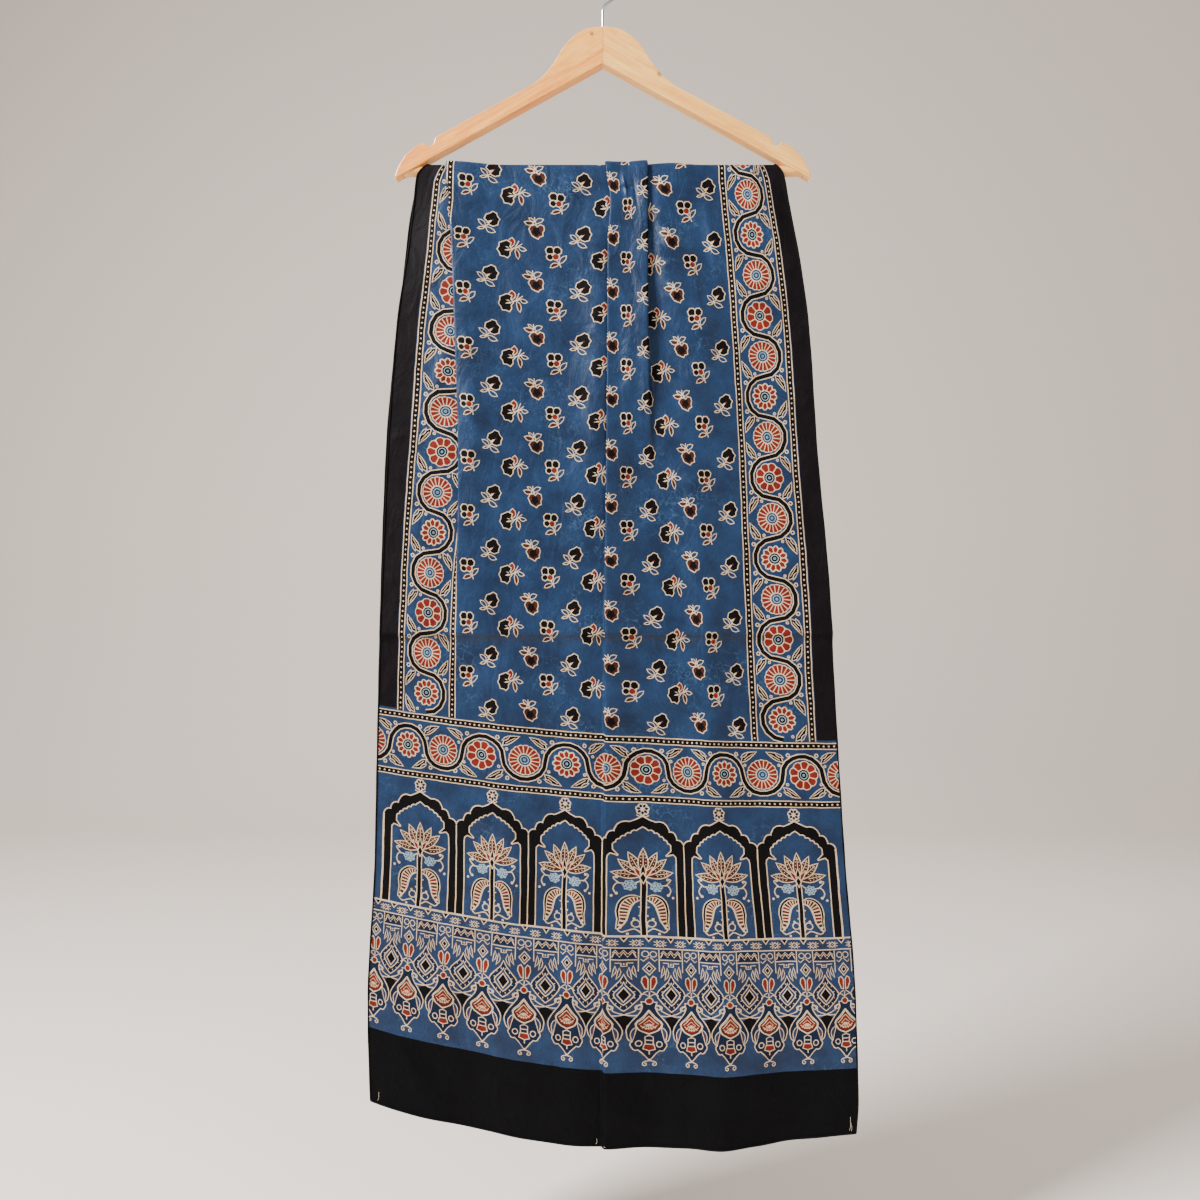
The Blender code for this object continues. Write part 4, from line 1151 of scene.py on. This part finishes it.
def cut_print(pen):
    """Cut the flat cloth along its folds and the ink edges that show. Returns places, triangles, inks."""
    shape_places, shape_triangles, shape_inks = cut_shapes(pen)
    near = straightened(shape_places, ink_edges(shape_triangles, shape_inks))
    number = {point: k for k, point in enumerate(near)}
    points = [Vector(shape_places[point]) for point in near]
    edges = [(number[a], number[b]) for a in near for b in near[a] if a < b]
    for line in fold_lines():
        start = len(points)
        points.extend(Vector(point) for point in line)
        edges.extend((start + i, start + i + 1) for i in range(len(line) - 1))
    points.extend(Vector(point) for point in ground_points())
    places, _, triangles, _, _, _ = delaunay_2d_cdt(points, edges, [], 0, 1e-6, False)
    places, triangles = np.array([tuple(place) for place in places]), np.array(triangles)
    a, b, c = (places[triangles[:, k]] for k in range(3))
    area = (b[:, 0] - a[:, 0]) * (c[:, 1] - a[:, 1]) - (b[:, 1] - a[:, 1]) * (c[:, 0] - a[:, 0])
    triangles[area < 0] = triangles[area < 0][:, ::-1]
    triangles = triangles[np.abs(area) > 1e-7]
    printed = BVHTree.FromPolygons([(x, y, 0.0) for x, y in shape_places], shape_triangles.tolist())
    order = list(INKS)
    middles = places[triangles].mean(axis=1)
    return places, triangles, [order[shape_inks[printed.find_nearest((x, y, 0.0))[2]]] for x, y in middles]


# Materials

def linear(colour):
    """A colour of 0 to 255 per channel as linear light."""
    share = np.array(colour, dtype=float) / 255.0
    return tuple(np.where(share <= 0.04045, share / 12.92, ((share + 0.055) / 1.055) ** 2.4))


class Looks:
    """A material with its shader, and short ways to add nodes to it."""

    def __init__(self, name):
        self.material = bpy.data.materials.new(name)
        self.material.use_nodes = True
        self.tree = self.material.node_tree
        self.shader = self.tree.nodes["Principled BSDF"]

    def add(self, kind, vector=None, **values):
        """A node with these values, read at a vector."""
        node = self.tree.nodes.new("ShaderNode" + kind)
        for key, value in values.items():
            if hasattr(node, key):
                setattr(node, key, value)
            else:
                node.inputs[key.replace("_", " ")].default_value = value
        if vector:
            self.link(vector, node.inputs["Vector"])
        return node

    def link(self, source, target):
        self.tree.links.new(source, target)

    def ranged(self, source, **limits):
        """A value moved from one range to another."""
        node = self.add("MapRange", **limits)
        self.link(source, node.inputs["Value"])
        return node.outputs["Result"]

    def blend(self, share, first, second, blend_type="MIX"):
        """Two colours blended by a share. Each is a node's output, or a colour of 0 to 255 per channel."""
        node = self.add("Mix", data_type="RGBA", blend_type=blend_type)
        for socket, value in ((0, share), (6, first), (7, second)):
            if isinstance(value, bpy.types.NodeSocket):
                self.link(value, node.inputs[socket])
            else:
                node.inputs[socket].default_value = value if socket == 0 else (*linear(value), 1.0)
        return node.outputs[2]

    def bump(self, height, strength, distance, under=None):
        """Relief from a height, on top of other relief."""
        node = self.add("Bump", Strength=strength, Distance=distance)
        self.link(height, node.inputs["Height"])
        if under:
            self.link(under, node.inputs["Normal"])
        return node.outputs["Normal"]

    def wear(self, **sources):
        """Link sources to the shader's sockets, or set them."""
        for key, source in sources.items():
            socket = self.shader.inputs[key.replace("_", " ")]
            if isinstance(source, bpy.types.NodeSocket):
                self.link(source, socket)
            else:
                socket.default_value = source


def cloth_material(name, colour, lighter, darker, veins=0.0, roughness=0.5, gloss=0.12, sheen=0.02):
    """Printed cotton: uneven ink, a fine weave and small wrinkles, laid out on the flat cloth."""
    looks = Looks(name)
    flat = looks.add("UVMap", uv_map="flat").outputs["UV"]
    cloudy = looks.add("TexNoise", flat, Scale=26.0, Detail=5.0, Roughness=0.62).outputs["Fac"]
    speckled = looks.add("TexNoise", flat, Scale=420.0, Detail=2.0).outputs["Fac"]
    shades = looks.blend(looks.ranged(cloudy, From_Min=0.34, From_Max=0.66), darker, lighter)
    tone = looks.ranged(speckled, From_Min=0.3, From_Max=0.7, To_Min=0.84, To_Max=1.1)
    result = looks.blend(1.0, looks.blend(0.55, colour, shades), tone, "MULTIPLY")
    if veins:
        result = add_veins(looks, flat, result, veins)
    threads = looks.add("Math", operation="ADD")
    for socket, way in enumerate("XY"):
        yarn = looks.add("TexWave", flat, wave_type="BANDS", bands_direction=way, Scale=560.0, Distortion=0.4)
        looks.link(yarn.outputs["Fac"], threads.inputs[socket])
    stretched = looks.add("Mapping", flat, Scale=(1.0, 0.6, 1.0)).outputs["Vector"]
    wrinkle = looks.add("TexNoise", stretched, Scale=42.0, Detail=4.0, Roughness=0.55, Distortion=0.8)
    soft = looks.bump(wrinkle.outputs["Fac"], 0.75, 0.003)
    looks.wear(Base_Color=result, Normal=looks.bump(threads.outputs["Value"], 0.16, 0.0003, soft),
               Roughness=looks.ranged(cloudy, To_Min=roughness - 0.06, To_Max=roughness + 0.08),
               Sheen_Weight=sheen, Sheen_Roughness=0.4, Specular_IOR_Level=gloss)
    return looks.material


def add_veins(looks, flat, ground, strength):
    """Pale crackle in patches, where the dye crept under the resist."""
    warp = looks.add("TexNoise", flat, Scale=60.0, Detail=3.0).outputs["Color"]
    bent = looks.add("Mix", data_type="RGBA", blend_type="LINEAR_LIGHT")
    bent.inputs[0].default_value = 0.035
    looks.link(flat, bent.inputs[6])
    looks.link(warp, bent.inputs[7])
    crackle = looks.add("TexVoronoi", bent.outputs[2], feature="DISTANCE_TO_EDGE", Scale=34.0)
    patches = looks.add("TexNoise", flat, Scale=11.0, Detail=2.0)
    amount = looks.add("Math", operation="MULTIPLY")
    away = crackle.outputs["Distance"]
    lines = looks.ranged(away, From_Min=0.0, From_Max=0.035, To_Min=strength, To_Max=0.0)
    looks.link(lines, amount.inputs[0])
    looks.link(looks.ranged(patches.outputs["Fac"], From_Min=0.5, From_Max=0.66), amount.inputs[1])
    return looks.blend(amount.outputs["Value"], ground, (96, 140, 178))


def wood_material(name, light, dark, lean, knots):
    """Waxed beech: grain along the arm, pores and small knots."""
    looks = Looks(name)
    place = looks.add("TexCoord").outputs["Object"]
    turned = looks.add("Mapping", place, Rotation=(0.0, lean, 0.0)).outputs["Vector"]
    stretched = looks.add("Mapping", turned, Scale=(1.0, 9.0, 14.0)).outputs["Vector"]
    rings = looks.add("TexNoise", stretched, Scale=9.0, Detail=6.0, Roughness=0.6, Distortion=1.2)
    fibres = looks.add("TexNoise", stretched, Scale=90.0, Detail=3.0, Roughness=0.7).outputs["Fac"]
    ramp = looks.add("ValToRGB")
    for stop, position, colour in zip(ramp.color_ramp.elements, (0.36, 0.62), (dark, light)):
        stop.position = position
        stop.color = (*linear(colour), 1.0)
    looks.link(rings.outputs["Fac"], ramp.inputs["Fac"])
    streak = looks.ranged(fibres, From_Min=0.35, From_Max=0.7, To_Min=0.86, To_Max=1.08)
    result = looks.blend(1.0, ramp.outputs["Color"], streak, "MULTIPLY")
    for spot, size in knots:
        node = looks.add("VectorMath", operation="DISTANCE")
        node.inputs[1].default_value = spot
        looks.link(place, node.inputs[0])
        distance = node.outputs["Value"]
        near = looks.ranged(distance, From_Min=size * 0.35, From_Max=size, To_Min=0.75, To_Max=0.0)
        result = looks.blend(near, result, (120, 62, 26))
    looks.wear(Base_Color=result, Normal=looks.bump(fibres, 0.25, 0.0004),
               Roughness=looks.ranged(fibres, To_Min=0.32, To_Max=0.5), Coat_Weight=0.2, Coat_Roughness=0.25)
    return looks.material


def steel_material():
    """Bright plated wire with faint handling marks."""
    looks = Looks("plated_steel")
    place = looks.add("TexCoord").outputs["Object"]
    marks = looks.add("TexNoise", place, Scale=260.0, Detail=4.0).outputs["Fac"]
    tone = looks.add("ValToRGB")
    tone.color_ramp.elements[0].color = (0.46, 0.47, 0.49, 1.0)
    tone.color_ramp.elements[1].color = (0.72, 0.73, 0.75, 1.0)
    looks.link(marks, tone.inputs["Fac"])
    roughness = looks.ranged(marks, To_Min=0.14, To_Max=0.3)
    looks.wear(Base_Color=tone.outputs["Color"], Roughness=roughness, Metallic=1.0)
    return looks.material


# Pieces

def new_piece(name, mesh, materials):
    """Put a mesh in the scene as a piece that rides with the object."""
    for material in materials:
        mesh.materials.append(material)
    piece = bpy.data.objects.new(name, mesh)
    bpy.context.collection.objects.link(piece)
    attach(piece, "root")
    return piece


def make_cloth(hung, inks):
    """The printed sheet in its folds, one material for each ink."""
    places, triangles, names = cut_print(draw_print())
    used, remap = np.unique(triangles, return_inverse=True)
    places, triangles = places[used], remap.reshape(triangles.shape)
    u, v = places[:, 0], places[:, 1]
    mesh = bpy.data.meshes.new("printed_cloth")
    mesh.from_pydata(hung.place(u, v).tolist(), [], triangles.tolist())
    order = list(INKS)
    mesh.polygons.foreach_set("material_index", np.array([order.index(name) for name in names]))
    corners = triangles.ravel()
    flat = mesh.uv_layers.new(name="flat")
    flat.data.foreach_set("uv", (places[corners] * MM).ravel())
    half = CLOTH_LENGTH / 2
    far = np.repeat(places[triangles][:, :, 1].mean(axis=1) > half, 3)
    baked_u = (u[corners] + far * CLOTH_WIDTH) / (2 * CLOTH_WIDTH)
    baked = np.stack([baked_u, (v[corners] - far * half) / half], -1)
    bake = mesh.uv_layers.new(name="OFBake")
    bake.data.foreach_set("uv", (0.008 + 0.984 * baked).ravel())
    mesh.shade_smooth()
    piece = new_piece("printed_cloth", mesh, [inks[name] for name in order])
    mesh.normals_split_custom_set_from_vertices(hung.outward(u, v).tolist())
    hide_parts("cloth")
    return piece


def tube(rings_at, radius, sides=8, closed_ends=True):
    """Points and faces of a round tube along a path of points, in metres."""
    path = np.asarray(rings_at, dtype=float)
    radius = np.broadcast_to(radius, len(path))
    way = np.gradient(path, axis=0)
    way /= np.maximum(np.linalg.norm(way, axis=1, keepdims=True), 1e-12)
    side = np.cross(way[0], (0.3, 0.9, 0.31))
    points, faces = [], []
    for k in range(len(path)):
        side = side - way[k] * np.dot(side, way[k])
        side /= np.linalg.norm(side)
        other = np.cross(way[k], side)
        for j in range(sides):
            angle = 2 * math.pi * j / sides
            points.append(path[k] + radius[k] * (math.cos(angle) * side + math.sin(angle) * other))
    for k in range(len(path) - 1):
        for j in range(sides):
            a, b = k * sides + j, k * sides + (j + 1) % sides
            faces.append((a, b, b + sides, a + sides))
    if closed_ends:
        last = (len(path) - 1) * sides
        faces.append(tuple(reversed(range(sides))))
        faces.append(tuple(range(last, last + sides)))
    return points, faces


def joined(parts):
    """One mesh from several lists of points and faces."""
    points, faces = [], []
    for some_points, some_faces in parts:
        start = len(points)
        points.extend(tuple(point) for point in some_points)
        faces.extend(tuple(start + corner for corner in face) for face in some_faces)
    return points, faces


def make_hem(hung, inks):
    """A narrow rolled hem all round the cloth."""
    radius = HEM_RADIUS * MM
    parts = []
    v = np.arange(0.0, CLOTH_LENGTH + 0.1, 4.0)
    crest = np.abs(FRONT_DROP - v) < 40.0
    v = np.unique(np.concatenate([v, np.arange(v[crest][0], v[crest][-1], 1.5)]))
    for u in (0.0, CLOTH_WIDTH):
        parts.append(tube(hung.place(np.full_like(v, u), v), radius * (1 + 0.12 * np.sin(v / 9.0 + u))))
    u = np.arange(0.0, CLOTH_WIDTH + 0.1, 2.0)
    for v_end in (0.0, CLOTH_LENGTH):
        parts.append(tube(hung.place(u, np.full_like(u, v_end)), radius * (1 + 0.12 * np.sin(u / 8.0))))
    points, faces = joined(parts)
    mesh = bpy.data.meshes.new("rolled_hem")
    mesh.from_pydata(points, [], faces)
    mesh.shade_smooth()
    return new_piece("rolled_hem", mesh, [inks["hem"]])


def make_stitches(hung, inks):
    """The few long cream stitches that catch the hem."""
    parts = []
    for u0, v0, u1, v1 in STITCHES:
        s = np.linspace(0.0, 1.0, 9)
        u, v = u0 + (u1 - u0) * s + 0.5 * np.sin(5 * s), v0 + (v1 - v0) * s
        lift = (0.35 + 0.5 * np.sin(math.pi * s)) * MM
        parts.append(tube(hung.place(u, v) + hung.outward(u, v) * lift[:, None], STITCH_RADIUS * MM, 6))
    points, faces = joined(parts)
    mesh = bpy.data.meshes.new("hem_stitches")
    mesh.from_pydata(points, [], faces)
    mesh.shade_smooth()
    return new_piece("hem_stitches", mesh, [inks["thread"]])


# Hook, in millimetres
WIRE_RADIUS = 1.75
WOOD_TOP_DROP = 64.0
CROOK_INNER_RADIUS = 17.0
CROOK_JOIN_ANGLE = -50.0
CROOK_TIP_ANGLE = 205.0
SHANK_STRAIGHT = 18.5
SHANK_IN_WOOD = 24.0
# The ball on the tip: how far past it, and how thick against the wire
BALL_END = ((0.5, 1.1), (1.1, 1.42), (1.8, 1.58), (2.6, 1.62), (3.4, 1.5), (4.1, 1.2), (4.6, 0.8),
            (4.85, 0.3))


def hook_route():
    """Centre line of the wire as (x, z, thickness factor), from inside the wood to the crook's tip."""
    ring = CROOK_INNER_RADIUS + WIRE_RADIUS
    join = math.radians(CROOK_JOIN_ANGLE)
    join_point = Vector((ring * math.cos(join), -CROOK_INNER_RADIUS + ring * math.sin(join)))
    join_way = Vector((-math.sin(join), math.cos(join)))
    shank_top = Vector((0.0, -WOOD_TOP_DROP + SHANK_STRAIGHT))
    route = [(0.0, -WOOD_TOP_DROP - SHANK_IN_WOOD, 1.0), (0.0, -WOOD_TOP_DROP + 2.0, 1.0)]
    reach = (join_point - shank_top).length * 0.42
    first = shank_top + Vector((0.0, reach))
    second = join_point - join_way * reach
    for s in np.linspace(0.0, 1.0, 24):
        point = (shank_top * (1 - s) ** 3 + first * 3 * s * (1 - s) ** 2
                 + second * 3 * s * s * (1 - s) + join_point * s**3)
        route.append((point.x, point.y, 1.0))
    for angle in np.radians(np.linspace(CROOK_JOIN_ANGLE, CROOK_TIP_ANGLE, 72))[1:]:
        route.append((ring * math.cos(angle), -CROOK_INNER_RADIUS + ring * math.sin(angle), 1.0))
    tip = math.radians(CROOK_TIP_ANGLE)
    way = Vector((-math.sin(tip), math.cos(tip)))
    tip_point = Vector((ring * math.cos(tip), -CROOK_INNER_RADIUS + ring * math.sin(tip)))
    for along, swell in BALL_END:
        point = tip_point + way * along
        route.append((point.x, point.y, swell))
    return route


def make_hook():
    """The bent steel hook with its small ball end."""
    route = hook_route()
    path = [(x * MM, 0.0, z * MM) for x, z, _ in route]
    points, faces = tube(path, np.array([swell for _, _, swell in route]) * WIRE_RADIUS * MM, 20)
    mesh = bpy.data.meshes.new("steel_hook")
    mesh.from_pydata([tuple(point) for point in points], [], faces)
    mesh.shade_smooth()
    hook = new_piece("steel_hook", mesh, [steel_material()])
    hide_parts("hook")
    return hook


def dress_hanger():
    """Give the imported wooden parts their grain."""
    lean = math.radians(28.5)
    finishes = {
        "hanger_arm_left": wood_material("beech_left", (250, 176, 78), (228, 132, 44), lean,
                                         [((-0.012, -0.0073, -0.0725), 0.0032)]),
        "hanger_arm_right": wood_material("beech_right", (252, 196, 104), (236, 160, 70), -lean,
                                          [((0.0608, -0.0073, -0.115), 0.0042)]),
        "trouser_bar": wood_material("beech_bar", (246, 188, 104), (224, 148, 66), 0.0, []),
    }
    for node, material in finishes.items():
        thing = bpy.data.objects[node]
        for place in thing.material_slots:
            place.material = material


# Stage, in metres
CAMERA_PLACE = (-0.0032, -1.148, -0.6773)
CAMERA_ANGLE = 58.64
CLOTH_MIDDLE = (0.0, 0.0, -0.65)
# Each light: name, place, size and power. All face the middle of the cloth
LIGHTS = (("key", (-1.75, -1.0, 0.9), 0.6, 195.0), ("fill", (1.6, -2.0, 0.2), 1.6, 16.0),
          ("rim", (0.8, 1.6, 0.6), 1.2, 16.0))


def make_stage():
    """A pale floor that curves up far behind, as one plain sweep."""
    floor, back, top = -1.40, 3.2, 3.0
    profile = [(-3.5, floor), (back - 1.0, floor)]
    for angle in np.linspace(0.1, math.pi / 2, 12):
        profile.append((back - 1.0 + math.sin(angle), floor + 1.0 - math.cos(angle)))
    profile.append((back, top))
    points = [(x, y, z) for y, z in profile for x in (-5.0, 5.0)]
    faces = [(2 * i, 2 * i + 1, 2 * i + 3, 2 * i + 2) for i in range(len(profile) - 1)]
    mesh = bpy.data.meshes.new("sweep")
    mesh.from_pydata(points, [], faces)
    mesh.shade_smooth()
    paper = Looks("sweep_paper")
    paper.wear(Base_Color=(*linear((236, 224, 214)), 1.0), Roughness=0.9)
    mesh.materials.append(paper.material)
    sweep = bpy.data.objects.new("sweep", mesh)
    bpy.context.collection.objects.link(sweep)


def make_light(name, place, size, power):
    """A square soft light that faces the middle of the cloth."""
    data = bpy.data.lights.new(name, "AREA")
    data.size = size
    data.energy = power
    light = bpy.data.objects.new(name, data)
    light.location = place
    light.rotation_euler = (Vector(CLOTH_MIDDLE) - Vector(place)).to_track_quat("-Z", "Y").to_euler()
    bpy.context.collection.objects.link(light)


def make_camera():
    """The photograph's view: level, straight on, a little over a metre away."""
    data = bpy.data.cameras.new("camera")
    data.angle = math.radians(CAMERA_ANGLE)
    data.dof.use_dof = False
    camera = bpy.data.objects.new("camera", data)
    camera.location = CAMERA_PLACE
    camera.rotation_euler = (math.pi / 2, 0.0, 0.0)
    bpy.context.collection.objects.link(camera)
    bpy.context.scene.camera = camera


def make_world():
    """Even pale light from all sides."""
    world = bpy.data.worlds.new("pale_room")
    world.use_nodes = True
    background = world.node_tree.nodes["Background"]
    background.inputs["Color"].default_value = (*linear((240, 236, 232)), 1.0)
    background.inputs["Strength"].default_value = 0.6
    bpy.context.scene.world = world


make_camera()
make_world()
make_stage()
for light in LIGHTS:
    make_light(*light)

matt = {"roughness": 0.62, "gloss": 0.06, "sheen": 0.0}
ink_materials = {
    "indigo": cloth_material("indigo_ground", INKS["indigo"], (24, 55, 92), (4, 22, 47), 0.2, 0.42, 0.26),
    "navy": cloth_material("deep_indigo", INKS["navy"], (12, 30, 58), (5, 14, 30)),
    "black": cloth_material("black_ink", INKS["black"], (16, 13, 13), (5, 5, 6), **matt),
    "cream": cloth_material("resist_cream", INKS["cream"], (216, 192, 162), (170, 142, 112)),
    "pale": cloth_material("resist_pale", INKS["pale"], (150, 168, 176), (100, 124, 140)),
    "madder": cloth_material("madder_ink", INKS["madder"], (128, 37, 23), (76, 16, 13)),
    "brown": cloth_material("brown_ink", INKS["brown"], (78, 34, 22), (36, 14, 11)),
    "edge": cloth_material("edge_black", INKS["edge"], (22, 17, 20), (9, 7, 9), **matt),
    "end": cloth_material("end_black", INKS["end"], (10, 10, 13), (3, 3, 4), **matt),
    "hem": cloth_material("hem_black", (10, 9, 11), (18, 15, 18), (5, 4, 6), **matt),
    "thread": cloth_material("cream_thread", (222, 206, 180), (236, 222, 200), (190, 172, 146)),
}
hung_cloth = HungCloth()
cloth = make_cloth(hung_cloth, ink_materials)
hem = make_hem(hung_cloth, ink_materials)
stitches = make_stitches(hung_cloth, ink_materials)
make_hook()
dress_hanger()
